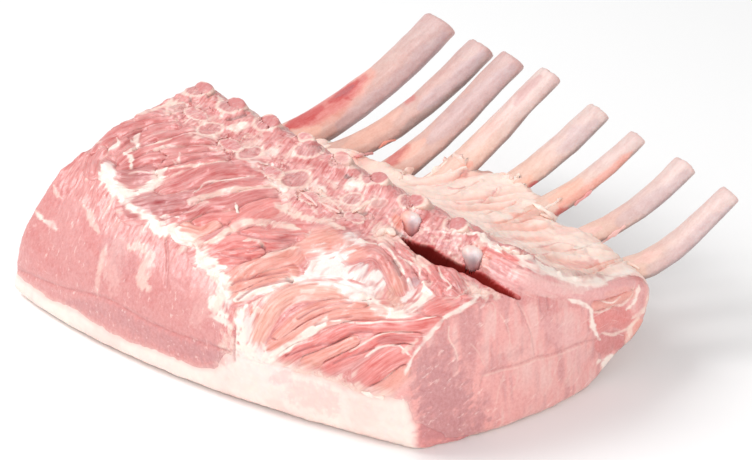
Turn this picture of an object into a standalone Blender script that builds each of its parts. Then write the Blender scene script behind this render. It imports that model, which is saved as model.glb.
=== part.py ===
"""A raw pork rack: eight frenched ribs on a loin, lying on its back fat with the ribs curving up.

While it is being built, x runs along the spine from the far (shoulder) end to the near end at x = 0,
y runs from the sawn back edge towards the rib tips, and z is up from the board. The last step moves
the origin to the middle of the footprint.
"""

import math
from collections import namedtuple

import bmesh
import bpy
from mathutils import Matrix, Vector, noise

MM = 0.001
GAP = 0.35 * MM  # clearance that keeps touching pieces apart
BEYOND = 40 * MM  # how far a cutter reaches past the flesh

# The loin: its length, and how finely it is lofted along the spine.
LOIN_LENGTH = 256 * MM
STATIONS = 37
NEAR_BULGE = 10.5 * MM  # the near cut swells towards the middle of the eye
BULGE_DEPTH = 52 * MM
BULGE_SPAN = (-7 * MM, 118 * MM)
BULGE_TOP = 129 * MM  # the height at which the swelling would be gone
CUT_INSETS = (0.97, 0.76, 0.42)  # rings that close each cut end, as a share of its outline
CUT_ROUNDING = 2 * MM

# One cross-section of the flesh: (y, z) in millimetres at the near end, the middle and the far end,
# how much of the flap's shortening the point takes, and the steps to the next point.
OUTLINE = (
    ("back_foot", (1.5, 0), (-47.5, 0), (-62, 0), 0, 2),
    ("back_side", (-6, 13), (-52.5, 12), (-64.5, 11), 0, 2),
    ("side_bulge", (-9.5, 32.5), (-50.5, 31), (-61, 29), 0, 3),
    ("side_top", (-3.5, 49), (-40.5, 47.5), (-49, 45.5), 0, 3),
    ("shoulder", (11, 60), (-24, 59.5), (-33.5, 60), 0, 4),
    ("crown", (30, 64.5), (3.5, 69), (-7, 72), 0, 4),
    ("upper_slope", (48, 66), (27.5, 75.5), (20.5, 81.5), 0, 3),
    ("chine_foot", (57, 69.5), (43, 80), (38, 86), 0, 2),
    ("chine_crest", (65.5, 75), (55, 84.5), (50, 89.5), 0, 3),
    ("chine_heel", (77.5, 68), (69, 73), (63.5, 75.5), 0, 2),
    ("rib_valley", (96.5, 58.5), (89.5, 60), (82.5, 58.5), 0.2, 3),
    ("flap_back", (118.5, 50.5), (120.5, 55), (110, 51.5), 0.6, 3),
    ("flap_lip", (136, 44.5), (149, 55), (143.5, 50.5), 1, 2),
    ("flap_edge", (143, 36), (155.5, 48), (149.5, 44.5), 1, 1),
    ("flap_under", (139.5, 22.5), (141, 38), (136, 36), 1, 2),
    ("flap_root", (125.5, 11), (113.5, 26), (110, 26), 0.7, 2),
    ("belly", (112, 5), (101.5, 10.5), (99, 8.5), 0.3, 2),
    ("belly_foot", (96.5, 0), (89.5, 0), (86, 0), 0, 2),
    ("base_middle", (43, 0), (17, 0), (0, 0), 0, 2),
)
FLAP_STEP = -39.5 * MM  # the flap is trimmed shorter behind the first four ribs
FLAP_STEP_X = -139.5 * MM
FLAP_STEP_BLEND = 8 * MM
FLAP_NOTCH = -12 * MM  # and dips between the sixth and seventh
FLAP_NOTCH_X = -69 * MM
FLAP_NOTCH_BLEND = 17 * MM
FAR_LEAN = 3.5 * MM  # the far cut leans back, so its foot stands this much nearer than its top
FAR_LEAN_DEPTH = 52 * MM
FAR_LEAN_TOP = 86 * MM

# Folds of muscle that fan from the chine down to the back fat. The side of the far half is a smooth
# cut face; the near half stands a little proud of it and is folded almost down to the fat.
FOLD_PITCH = 23 * MM
FOLD_DEPTH = 4.3 * MM
FOLD_SLANT_FAR = 0.6
FOLD_ROWS_NEAR, FOLD_ROWS_FAR = (1.4, 2.6), (3.4, 4.4)  # OUTLINE rows over which the folds set in
FOLD_ROWS_END = (5.3, 6.2)
LUMP_SIZE = 26 * MM
LUMP_DEPTH = 4 * MM
LOBE_X = -93 * MM
LOBE_BLEND = 8 * MM
LOBE_HEIGHT = 3 * MM
SCALLOP_HEIGHT = 2 * MM  # the ridge of the chine rises round each rib's head

# The ribs, from the far one to the near one. Each hangs from its sawn head, dips into the flap and
# curves up to its frenched tip. Lengths in millimetres, slant in degrees towards the near end.
Rib = namedtuple("Rib", "dip_reach dip_height dip_slope tip_reach tip_height neck_width tip_width slant")
RIBS = (
    Rib(49, 48, 0.24, 149, 99, 31, 27.5, 5.3),
    Rib(50.5, 48, 0.06, 150.5, 93.5, 20, 23, 6.9),
    Rib(58.5, 40.5, 0.36, 144.5, 96.5, 23, 21, 8.6),
    Rib(60, 39.5, 0.42, 143.5, 97, 23, 18, 9.3),
    Rib(50, 44, -0.08, 148, 85, 19, 19, 10.4),
    Rib(55, 46.5, -0.04, 144.5, 81.5, 21.5, 14, 12.4),
    Rib(74, 45.5, -0.15, 149.5, 74, 15.5, 17.5, 12.0),
    Rib(87, 39.5, 0.02, 144.5, 72, 20, 15, 15.5),
)
RIB_HEAD_FAR = Vector((-244, 47.5)) * MM
RIB_HEAD_NEAR = Vector((-45, 58.5)) * MM
RIB_HEAD_PROUD = -0.2 * MM
RIB_THICKNESS = 0.52  # of its width
RIB_HEAD_WIDTH = 16 * MM
RIB_TIP_SLOPE = 0.78
RIB_SIDES = 12
RIB_STEPS = 5  # between two control points of the centreline
RIB_TIP_ROUNDING = 1.0 * MM

# The sawn vertebrae beside the rib heads: where the middle of each cut face lies, and its length.
CHINE_SPOTS = ((-227, 32, 23), (-187, 27, 21), (-150, 27, 20.5), (-119.5, 27, 17), (-90, 32, 16))
CHINE_DEPTH, CHINE_WIDTH = 10 * MM, 10.5 * MM
CHINE_PROUD = 0.6 * MM

# White joint cartilage that the saw has bared at the near end of the chine.
CARTILAGE_SPOTS = ((-69, 50), (-28.5, 54))
CARTILAGE_SIZE = Vector((11, 6, 11)) * MM
CARTILAGE_PROUD = 0.7 * MM

# The knife cut between the eye of the loin and the chine, widest half way along.
SLIT_NEAR, SLIT_FAR = Vector((8, 52.5, 64.5)) * MM, Vector((-66, 43, 71.5)) * MM
SLIT_DROP = Vector((0, 16.5, -23)) * MM
SLIT_WIDTH = 5.5 * MM

# The back fat: how high it stands up the sawn side, and how far it runs under the eye.
FAT_HEIGHT_NEAR, FAT_HEIGHT_FAR = 29 * MM, 13 * MM
FAT_DEPTH = 7 * MM
FAT_REACH_NEAR, FAT_REACH_FAR = 22 * MM, 103 * MM
FAT_WAVE = 11 * MM

# The pale layer of fat over the ribs.
RIB_FAT_DEPTH = 3.2 * MM
RIB_FAT_ENDS = (-238 * MM, -5 * MM)
RIB_FAT_ROWS = ("chine_heel", "rib_valley", "flap_back", "flap_lip", "flap_edge")

# Colours (linear), roughness.
LEAN = ((0.72, 0.25, 0.23, 1), 0.45)
FAT = ((0.91, 0.79, 0.72, 1), 0.5)
PLEURA = ((0.88, 0.68, 0.60, 1), 0.4)
BONE = ((0.80, 0.62, 0.57, 1), 0.45)
MARROW_BONE = ((0.74, 0.38, 0.36, 1), 0.6)
GRISTLE = ((0.86, 0.83, 0.83, 1), 0.25)


def clear_scene():
    for thing in list(bpy.data.objects):
        bpy.data.objects.remove(thing)


def new_collection(name):
    made = bpy.data.collections.new(name)
    bpy.context.scene.collection.children.link(made)
    return made


def material(name, look):
    colour, roughness = look
    made = bpy.data.materials.new(name)
    made.use_nodes = True
    shader = made.node_tree.nodes["Principled BSDF"]
    shader.inputs["Base Color"].default_value = colour
    shader.inputs["Roughness"].default_value = roughness
    shader.inputs["Metallic"].default_value = 0.0
    return made


def add_mesh(name, bm, collection):
    """Puts a finished bmesh into a new smooth-shaded object."""
    bmesh.ops.recalc_face_normals(bm, faces=bm.faces)
    mesh = bpy.data.meshes.new(name)
    bm.to_mesh(mesh)
    bm.free()
    made = bpy.data.objects.new(name, mesh)
    collection.objects.link(made)
    mesh.shade_smooth()
    mesh.set_sharp_from_angle(angle=math.radians(50))
    return made


def make_cutter(thing):
    thing.hide_render = True
    thing.display_type = "WIRE"
    return thing


def boolean(thing, operation, other):
    """other is one object, or a collection of them."""
    step = thing.modifiers.new(operation.title(), "BOOLEAN")
    step.operation = operation
    step.solver = "EXACT"
    if isinstance(other, bpy.types.Collection):
        step.operand_type = "COLLECTION"
        step.collection = other
    else:
        step.object = other


def smoothstep(low, high, value):
    t = min(1.0, max(0.0, (value - low) / (high - low)))
    return t * t * (3 - 2 * t)


def mix(a, b, t):
    return a + (b - a) * t


def along_spine(near, middle, far, s):
    """The parabola through three values, with s running from 0 at the near end to 1 at the far end."""
    return near * 2 * (s - 0.5) * (s - 1) + middle * 4 * s * (1 - s) + far * 2 * s * (s - 0.5)


def flap_shortening(x):
    step = smoothstep(FLAP_STEP_X + FLAP_STEP_BLEND, FLAP_STEP_X - FLAP_STEP_BLEND, x)
    notch = 1 - smoothstep(0, FLAP_NOTCH_BLEND, abs(x - FLAP_NOTCH_X))
    return FLAP_STEP * step + FLAP_NOTCH * notch


def control_points(x):
    """The named outline points at one place along the spine, in order round the section."""
    s = -x / LOIN_LENGTH
    points = []
    for _, near, middle, far, shortened, _ in OUTLINE:
        y = along_spine(near[0], middle[0], far[0], s) * MM + shortened * flap_shortening(x)
        z = along_spine(near[1], middle[1], far[1], s) * MM
        points.append(Vector((y, max(0.0, z))))
    return points


def smooth_point(before, start, end, after, t):
    """A Catmull-Rom point between start and end."""
    return 0.5 * (
        2 * start
        + (end - before) * t
        + (2 * before - 5 * start + 4 * end - after) * t**2
        + (3 * start - before - 3 * end + after) * t**3
    )


def near_share(x):
    """1 along the near half of the loin and 0 along the far half."""
    return smoothstep(LOBE_X - LOBE_BLEND, LOBE_X + LOBE_BLEND, x)


def relief(x, y, row):
    """How far the muscle stands out of the plain outline: folds, slower lumps and the two steps."""
    near = near_share(x)
    start = [mix(far, close, near) for far, close in zip(FOLD_ROWS_FAR, FOLD_ROWS_NEAR)]
    share = smoothstep(start[0], start[1], row) * (1 - smoothstep(*FOLD_ROWS_END, row))
    slant = FOLD_SLANT_FAR * smoothstep(-0.3 * LOIN_LENGTH, -LOIN_LENGTH, x)
    wander = noise.noise(Vector((x, y, 0)) / LUMP_SIZE) * 0.45
    wave = math.sin(2 * math.pi * ((x - slant * y) / FOLD_PITCH + wander))
    lump = noise.noise(Vector((x, y, LUMP_SIZE)) / LUMP_SIZE)
    height = share * (FOLD_DEPTH * (1 - abs(wave)) + LUMP_DEPTH * lump)

    fading = max(0.0, 1 - (LOBE_X - x) / LOBE_X) if x > LOBE_X else 1.0
    height += LOBE_HEIGHT * near * fading * smoothstep(0.6, 1.6, row) * (1 - smoothstep(3.2, 4.6, row))

    pitch = (RIB_HEAD_NEAR.x - RIB_HEAD_FAR.x) / (len(RIBS) - 1)
    bump = math.cos(2 * math.pi * (x - RIB_HEAD_FAR.x) / pitch)
    return height + SCALLOP_HEIGHT * bump * smoothstep(7.0, 8.0, row) * (1 - smoothstep(8.4, 9.6, row))


def section(x):
    """The full outline at x: smooth through its named points, with the relief added."""
    points = control_points(x)
    count = len(points)
    ring = []
    for row, (_, _, _, _, _, steps) in enumerate(OUTLINE):
        around = [points[(row + k) % count] for k in (-1, 0, 1, 2)]
        for step in range(steps):
            t = step / steps
            here = smooth_point(*around, t)
            ahead = smooth_point(*around, t + 0.01)
            outward = Vector((-(ahead - here).y, (ahead - here).x)).normalized()
            here = here + outward * relief(x, here.x, row + t)
            ring.append(Vector((here.x, max(0.0, here.y))))
    return ring


def surface_height(x, y):
    """The height of the upper surface of the flesh at one place."""
    ring = section(x)
    crossings = []
    for a, b in zip(ring, ring[1:] + ring[:1]):
        if min(a.x, b.x) <= y <= max(a.x, b.x) and a.x != b.x:
            crossings.append(mix(a.y, b.y, (y - a.x) / (b.x - a.x)))
    return max(crossings)


def near_swell(x, y, z):
    """The near cut bulges towards the viewer, most of all low in the middle of the eye."""
    low, high = BULGE_SPAN
    across = math.sin(math.pi * min(1.0, max(0.0, (y - low) / (high - low))))
    return NEAR_BULGE * across * (1 - z / BULGE_TOP) * max(0.0, 1 + x / BULGE_DEPTH)


def far_lean(x, z):
    """The foot of the far cut stands nearer than its top."""
    low = max(0.0, 1 - z / FAR_LEAN_TOP)
    return FAR_LEAN * low * smoothstep(-LOIN_LENGTH + FAR_LEAN_DEPTH, -LOIN_LENGTH, x)


def section_middle(ring):
    low, high = min(p.x for p in ring), max(p.x for p in ring)
    return Vector((mix(low, high, 0.48), max(p.y for p in ring) * 0.45))


def loft(name, rings, collection):
    """Joins closed rings of equal length into a solid; each end is closed by one fan.

    Every quad is split along the same diagonal, so that a grown cutter stays parallel to its piece.
    """
    bm = bmesh.new()
    loops = [[bm.verts.new(point) for point in ring] for ring in rings]
    count = len(loops[0])
    for one, other in zip(loops, loops[1:]):
        for k in range(count):
            after = (k + 1) % count
            bm.faces.new((one[k], one[after], other[after]))
            bm.faces.new((one[k], other[after], other[k]))
    for loop in (loops[0], loops[-1]):
        middle = bm.verts.new(sum((v.co for v in loop), Vector()) / count)
        for k in range(count):
            bm.faces.new((loop[k], loop[(k + 1) % count], middle))
    return add_mesh(name, bm, collection)


def build_flesh(name, collection):
    """The whole outer form, before the fat, the bones and the knife cut are taken out of it."""

    def ring_at(x, place, shrink):
        outline = section(place)
        middle = section_middle(outline)
        ring = []
        for p in outline:
            q = middle + (p - middle) * shrink
            ring.append(Vector((x + near_swell(x, q.x, q.y) + far_lean(x, q.y), q.x, q.y)))
        return ring

    rings = [ring_at(0.0, 0.0, shrink) for shrink in reversed(CUT_INSETS)]
    for k in range(STATIONS + 1):
        x = mix(-CUT_ROUNDING, -LOIN_LENGTH + CUT_ROUNDING, k / STATIONS)
        rings.append(ring_at(x, x, 1.0))
    rings += [ring_at(-LOIN_LENGTH, -LOIN_LENGTH, shrink) for shrink in CUT_INSETS]
    return loft(name, rings, collection)


def build_fat_block(name, grow, collection):
    """What lies below and outside the inner face of the back fat."""
    rings = []
    for k in range(STATIONS + 1):
        x = mix(BEYOND, -LOIN_LENGTH - BEYOND, k / STATIONS)
        inside = min(0.0, max(-LOIN_LENGTH, x))
        wave = math.sin(inside / FAT_WAVE) * MM
        height = mix(FAT_HEIGHT_FAR, FAT_HEIGHT_NEAR, near_share(inside)) + wave
        reach = mix(FAT_REACH_NEAR, FAT_REACH_FAR, smoothstep(0, -LOIN_LENGTH / 2, inside))
        foot = control_points(inside)[0].x
        side = min(p.x for p in section(inside) if p.y < 1.1 * height)
        inner = (
            (side - BEYOND, height + 0.4 * FAT_DEPTH),
            (side - 0.3 * FAT_DEPTH, height),
            (side + 0.5 * FAT_DEPTH, height - 0.3 * FAT_DEPTH),
            (side + FAT_DEPTH, 0.55 * height),
            (foot + 1.5 * FAT_DEPTH, 0.8 * FAT_DEPTH),
            (foot + 0.5 * reach, 0.55 * FAT_DEPTH),
            (foot + reach, 0.22 * FAT_DEPTH),
            (foot + reach, -BEYOND),
            (side - BEYOND, -BEYOND),
        )
        last = len(inner) - 2
        ring = []
        for n, (y, z) in enumerate(inner):
            outward = grow if 1 < n <= last else 0
            upward = grow if 1 < n < last else 0
            ring.append(Vector((x, y + outward, z + upward)))
        rings.append(ring)
    return make_cutter(loft(name, rings, collection))


def build_rib_fat_block(name, grow, collection):
    """What lies above the underside of the fat over the ribs."""
    names = [entry[0] for entry in OUTLINE]
    rows = [names.index(row) for row in RIB_FAT_ROWS]
    rings = []
    low, high = RIB_FAT_ENDS
    for k in range(STATIONS + 1):
        x = mix(high, low, k / STATIONS)
        points = control_points(x)
        depth = RIB_FAT_DEPTH + grow
        under = []
        for row in rows:
            before, here, after = points[row - 1], points[row], points[row + 1]
            along = (after - before).normalized()
            under.append(here - Vector((-along.y, along.x)) * depth)
        top = max(p.y for p in points) + BEYOND
        under[0] = under[0] + Vector((-grow, 0))
        under[-1] = Vector((under[-1].x, points[rows[-1]].y - grow))
        ring = [Vector((under[0].x, top))] + under
        ring += [Vector((under[-1].x + BEYOND, under[-1].y)), Vector((under[-1].x + BEYOND, top))]
        past_end = grow * ((k == 0) - (k == STATIONS))
        rings.append([Vector((x + past_end, p.x, p.y)) for p in ring])
    return make_cutter(loft(name, rings, collection))


def build_slit(name, collection):
    """A thin wedge that goes in beside the chine and slopes down under it."""
    slope = -SLIT_DROP.normalized()
    rings = []
    steps = 10
    for k in range(steps + 1):
        t = k / steps
        depth = max(0.12, math.sqrt(4 * t * (1 - t)))
        half = Vector((0, 0.5 * SLIT_WIDTH * depth, 0))
        edge = Vector((0, 0.4 * MM, 0))
        mouth = SLIT_NEAR.lerp(SLIT_FAR, t)
        top = mouth + slope * 0.4 * BEYOND
        low = mouth + SLIT_DROP * depth
        rings.append([top - half, mouth - half, low - edge, low + edge, mouth + half, top + half])
    return make_cutter(loft(name, rings, collection))


def rib_head(i):
    """The middle of a rib's sawn head, just proud of the ridge."""
    place = RIB_HEAD_FAR.lerp(RIB_HEAD_NEAR, i / (len(RIBS) - 1))
    return Vector((place.x, place.y, surface_height(place.x, place.y) + RIB_HEAD_PROUD))


def rib_profile(name, width, thickness):
    """The flattened oval that a rib is swept with."""
    curve = bpy.data.curves.new(name, "CURVE")
    curve.dimensions = "2D"
    spline = curve.splines.new("POLY")
    spline.points.add(RIB_SIDES - 1)
    for k, point in enumerate(spline.points):
        angle = 2 * math.pi * k / RIB_SIDES
        point.co = (0.5 * width * math.cos(angle), 0.5 * thickness * math.sin(angle), 0, 1)
    spline.use_cyclic_u = True
    return bpy.data.objects.new(name, curve)


def rib_stops(i, grow):
    """The centreline's control points: place, the two handles' lengths along it, and relative width."""
    rib = RIBS[i]
    slant = math.radians(rib.slant)
    outward = Vector((math.sin(slant), math.cos(slant), 0))
    up = Vector((0, 0, 1))
    head = rib_head(i)
    foot = Vector((head.x, head.y, 0))
    dip = foot + (outward * rib.dip_reach + up * rib.dip_height) * MM
    tip = foot + (outward * rib.tip_reach + up * rib.tip_height) * MM
    falling = (outward * 0.55 - up).normalized()
    levelling = (outward + up * rib.dip_slope).normalized()
    rising = (outward + up * RIB_TIP_SLOPE).normalized()
    head_pull = 0.42 * (dip - head).length
    tip_pull = 0.36 * (tip - dip).length
    rounding = RIB_TIP_ROUNDING
    past_head, past_tip = grow * 12, grow * 6
    head_size = RIB_HEAD_WIDTH / (rib.tip_width * MM)
    neck_size = rib.neck_width / rib.tip_width
    stops = [
        (head, falling * 0.3 * past_head, falling * head_pull, head_size),
        (dip, levelling * head_pull, levelling * tip_pull, neck_size),
        (tip - rising * rounding, rising * tip_pull, rising * rounding * 0.3, 1.0),
        (tip + rising * past_tip, rising * rounding * 0.3, rising * rounding, 0.93),
    ]
    if grow:
        above = falling * 0.3 * past_head
        stops.insert(0, (head - falling * past_head, above, above, head_size))
    return stops


def build_rib(name, i, grow, collection):
    """One rib, swept along a curve through its head, its dip and its tip."""
    width = RIBS[i].tip_width * MM
    curve = bpy.data.curves.new(name, "CURVE")
    curve.dimensions = "3D"
    curve.twist_mode = "Z_UP"
    curve.resolution_u = RIB_STEPS
    curve.use_fill_caps = True
    profile = rib_profile(name + ".profile", width + 2 * grow, width * RIB_THICKNESS + 2 * grow)
    curve.bevel_mode = "OBJECT"
    curve.bevel_object = profile
    stops = rib_stops(i, grow)
    spline = curve.splines.new("BEZIER")
    spline.bezier_points.add(len(stops) - 1)
    for point, (place, back, ahead, size) in zip(spline.bezier_points, stops):
        point.co = place
        point.handle_left = place - back
        point.handle_right = place + ahead
        point.radius = size
    swept = bpy.data.objects.new(name + ".swept", curve)
    holder = bpy.context.scene.collection
    holder.objects.link(swept)
    holder.objects.link(profile)
    bpy.context.view_layer.update()
    mesh = bpy.data.meshes.new_from_object(swept.evaluated_get(bpy.context.evaluated_depsgraph_get()))
    bm = bmesh.new()
    bm.from_mesh(mesh)
    bmesh.ops.remove_doubles(bm, verts=bm.verts, dist=0.02 * MM)
    for thing in (swept, profile):
        bpy.data.objects.remove(thing)
    return add_mesh(name, bm, collection)


def build_chine(name, spot, grow, collection):
    """One sawn vertebra: a blunt oval block with its flat cut face up, flush with the flesh."""
    x, y, length = spot[0] * MM, spot[1] * MM, spot[2] * MM
    bm = bmesh.new()
    size = Vector((length, CHINE_WIDTH, CHINE_DEPTH)) + Vector((2, 2, 2)) * grow
    bmesh.ops.create_cone(bm, cap_ends=True, segments=14, radius1=0.42, radius2=0.5, depth=1.0)
    bmesh.ops.scale(bm, vec=size, verts=bm.verts)
    made = add_mesh(name, bm, collection)
    reach = 0.5 * CHINE_WIDTH
    rise = math.atan2(surface_height(x, y + reach) - surface_height(x, y - reach), 2 * reach)
    tilt = Matrix.Rotation(rise, 4, "X")
    middle = Vector((x, y, surface_height(x, y))) + tilt @ Vector((0, 0, CHINE_PROUD - 0.5 * CHINE_DEPTH))
    made.rotation_euler = (rise, 0, 0)
    made.location = middle
    return made


def build_cartilage(name, spot, grow, collection):
    """A blunt wedge of joint cartilage, let into the flesh."""
    x, y = spot[0] * MM, spot[1] * MM
    bm = bmesh.new()
    size = CARTILAGE_SIZE + Vector((2, 2, 2)) * grow
    bmesh.ops.create_cube(bm, size=1.0)
    for vert in bm.verts:
        if vert.co.z < 0:
            vert.co.x *= 0.45
    bmesh.ops.scale(bm, vec=size, verts=bm.verts)
    bmesh.ops.bevel(bm, geom=bm.edges[:], offset=1.6 * MM, segments=2, affect="EDGES")
    made = add_mesh(name, bm, collection)
    made.location = (x, y, surface_height(x, y) + CARTILAGE_PROUD - 0.5 * CARTILAGE_SIZE.z)
    return made


def centre_on_footprint(things):
    """Moves everything so that the origin is under the middle of the finished rack."""
    bpy.context.view_layer.update()
    graph = bpy.context.evaluated_depsgraph_get()
    corners = []
    for thing in things:
        shown = thing.evaluated_get(graph)
        corners += [shown.matrix_world @ Vector(v.co) for v in shown.to_mesh().vertices]
    low = Vector([min(c[k] for c in corners) for k in range(3)])
    high = Vector([max(c[k] for c in corners) for k in range(3)])
    shift = Vector((-(low.x + high.x) / 2, -(low.y + high.y) / 2, -low.z))
    for thing in bpy.data.objects:
        thing.location += shift


def main():
    clear_scene()
    rack = new_collection("PorkRack")
    cutters = new_collection("Cutters")
    bone_cutters = new_collection("BoneCutters")

    lean = material("lean", LEAN)
    fat = material("back_fat", FAT)
    pleura = material("rib_fat", PLEURA)
    bone = material("bone", BONE)
    marrow = material("sawn_bone", MARROW_BONE)
    gristle = material("cartilage", GRISTLE)

    made = []

    def keep(thing, look):
        thing.data.materials.append(look)
        made.append(thing)
        return thing

    meat = keep(build_flesh("loin_meat", rack), lean)
    back = keep(build_flesh("back_fat", rack), fat)
    over_ribs = keep(build_flesh("rib_fat", rack), pleura)

    boolean(back, "INTERSECT", build_fat_block("fat_block", 0.0, cutters))
    boolean(over_ribs, "INTERSECT", build_rib_fat_block("rib_fat_block", 0.0, cutters))
    boolean(meat, "DIFFERENCE", build_fat_block("fat_block_grown", GAP, cutters))
    boolean(meat, "DIFFERENCE", build_rib_fat_block("rib_fat_block_grown", GAP, cutters))
    boolean(meat, "DIFFERENCE", build_slit("slit_cutter", cutters))

    for i in range(len(RIBS)):
        keep(build_rib(f"rib_{i + 1}", i, 0.0, rack), bone)
        make_cutter(build_rib(f"rib_{i + 1}_cutter", i, GAP, bone_cutters))
    for n, spot in enumerate(CHINE_SPOTS, 1):
        keep(build_chine(f"chine_{n}", spot, 0.0, rack), marrow)
        make_cutter(build_chine(f"chine_{n}_cutter", spot, GAP, bone_cutters))
    for n, spot in enumerate(CARTILAGE_SPOTS, 1):
        keep(build_cartilage(f"cartilage_{n}", spot, 0.0, rack), gristle)
        make_cutter(build_cartilage(f"cartilage_{n}_cutter", spot, GAP, bone_cutters))
    for thing in (meat, over_ribs):
        boolean(thing, "DIFFERENCE", bone_cutters)
    centre_on_footprint(made)


main()
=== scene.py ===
"""A raw pork rack: the looks of its meat, fat, bones and stage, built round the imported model.

Everything is in metres. Places that are read off the camera's picture are in pixels of its 752 x 460
frame; they are thrown onto the meat itself, so that each seam and stain lies on the surface.
"""

import functools
import itertools
import math
from collections import namedtuple

import bmesh
import bpy
import numpy as np
from bpy.props import FloatProperty, FloatVectorProperty, IntProperty, PointerProperty
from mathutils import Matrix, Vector
from mathutils.bvhtree import BVHTree


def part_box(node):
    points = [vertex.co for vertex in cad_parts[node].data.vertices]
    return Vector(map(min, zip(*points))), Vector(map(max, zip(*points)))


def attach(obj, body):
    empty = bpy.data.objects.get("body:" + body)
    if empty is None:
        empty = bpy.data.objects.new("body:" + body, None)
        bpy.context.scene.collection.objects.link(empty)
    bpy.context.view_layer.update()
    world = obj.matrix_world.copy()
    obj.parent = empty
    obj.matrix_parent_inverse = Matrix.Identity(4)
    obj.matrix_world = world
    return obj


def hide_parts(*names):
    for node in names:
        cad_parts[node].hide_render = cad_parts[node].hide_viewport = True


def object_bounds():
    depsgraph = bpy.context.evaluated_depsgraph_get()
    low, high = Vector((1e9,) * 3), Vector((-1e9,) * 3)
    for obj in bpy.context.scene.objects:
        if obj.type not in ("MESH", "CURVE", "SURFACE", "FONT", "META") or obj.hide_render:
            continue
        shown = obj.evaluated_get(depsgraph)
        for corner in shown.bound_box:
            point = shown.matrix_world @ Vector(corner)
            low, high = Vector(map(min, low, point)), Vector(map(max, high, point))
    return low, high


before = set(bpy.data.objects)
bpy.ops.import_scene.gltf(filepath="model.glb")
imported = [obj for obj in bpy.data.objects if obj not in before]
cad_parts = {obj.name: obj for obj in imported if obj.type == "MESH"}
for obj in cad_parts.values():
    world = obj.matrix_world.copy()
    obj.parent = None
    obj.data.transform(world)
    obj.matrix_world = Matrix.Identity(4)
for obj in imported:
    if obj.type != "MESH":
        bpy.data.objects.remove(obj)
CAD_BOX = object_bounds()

bl_info = {
    "name": "Raw Pork Rack",
    "version": (1, 0, 0),
    "blender": (4, 5, 0),
    "location": "3D Viewport > Sidebar > Pork Rack",
    "description": "Dresses a frenched pork rack in meat, fat and bone, and sets its stage",
    "category": "Object",
}

MM = 0.001
FLESH_NODES = ("loin_meat", "back_fat", "rib_fat")
RIBS = [f"rib_{n}" for n in range(1, 9)]
CHINES = [f"chine_{n}" for n in range(1, 6)]
CARTILAGES = ["cartilage_1", "cartilage_2"]

# The camera, which is also the eye that the readings below were taken from.
PICTURE = Vector((752, 460))
EYE = Vector((0.801592, -0.603563, 0.492141))
EYE_AZIMUTH = math.radians(53)
EYE_ELEVATION = math.radians(24)
LENS = 105.87
SENSOR = 36.0

# The stage: where each light stands, and how wide it is.
KEY_PLACE, KEY_SIZE = (-0.95, -0.85, 1.5), 1.0
FILL_PLACE, FILL_SIZE = (1.5, -0.7, 0.7), 1.2
FLOOR_GAP = 0.1 * MM  # between the floor and the rack
FLOOR_SHADE = (0.85, 0.85, 0.86, 1)

# Where the near half of the loin, folded and standing proud, takes over from the flat far half.
LOBE_X = 30 * MM
NEAR_CUT_X = 112 * MM
FAR_CUT_X = -127 * MM
LEAN_CUTS = (-52 * MM, 27 * MM, 82 * MM)  # the lean is parted here, so that no piece has too many faces


def linear(code):
    """A colour written as six hex digits, as the shader takes it."""
    parts = [int(code[k : k + 2], 16) / 255 for k in (0, 2, 4)]
    return tuple(c / 12.92 if c <= 0.04045 else ((c + 0.055) / 1.055) ** 2.4 for c in parts)


# ---------------------------------------------------------------------------------------------------
# Readings. Each line is (tone, half width, strength, its points).

TONES = {
    "rose": linear("DB7D7B"),
    "red": linear("D35F5E"),
    "bright": linear("E86A63"),
    "deep": linear("B74B4F"),
    "coral": linear("F09C87"),
    "peach": linear("F3B7A0"),
    "pink": linear("EFA9A7"),
    "blush": linear("F3C3BB"),
    "mauve": linear("C17175"),
    "fat": linear("F9E8DD"),
    "cream": linear("F7D9CA"),
    "membrane": linear("F6E7E1"),
    "grey": linear("BDA6AE"),
    "rust": linear("E2724C"),
    "blood": linear("C63A38"),
    # dark, slit and gash are painted shade: dark in crevices, slit deep in the knife cut and gash up its wall
    "dark": linear("5A1214"),
    "slit": linear("300607"),
    "gash": linear("8E2521"),
    "shade": linear("8C746F"),
}

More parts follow.
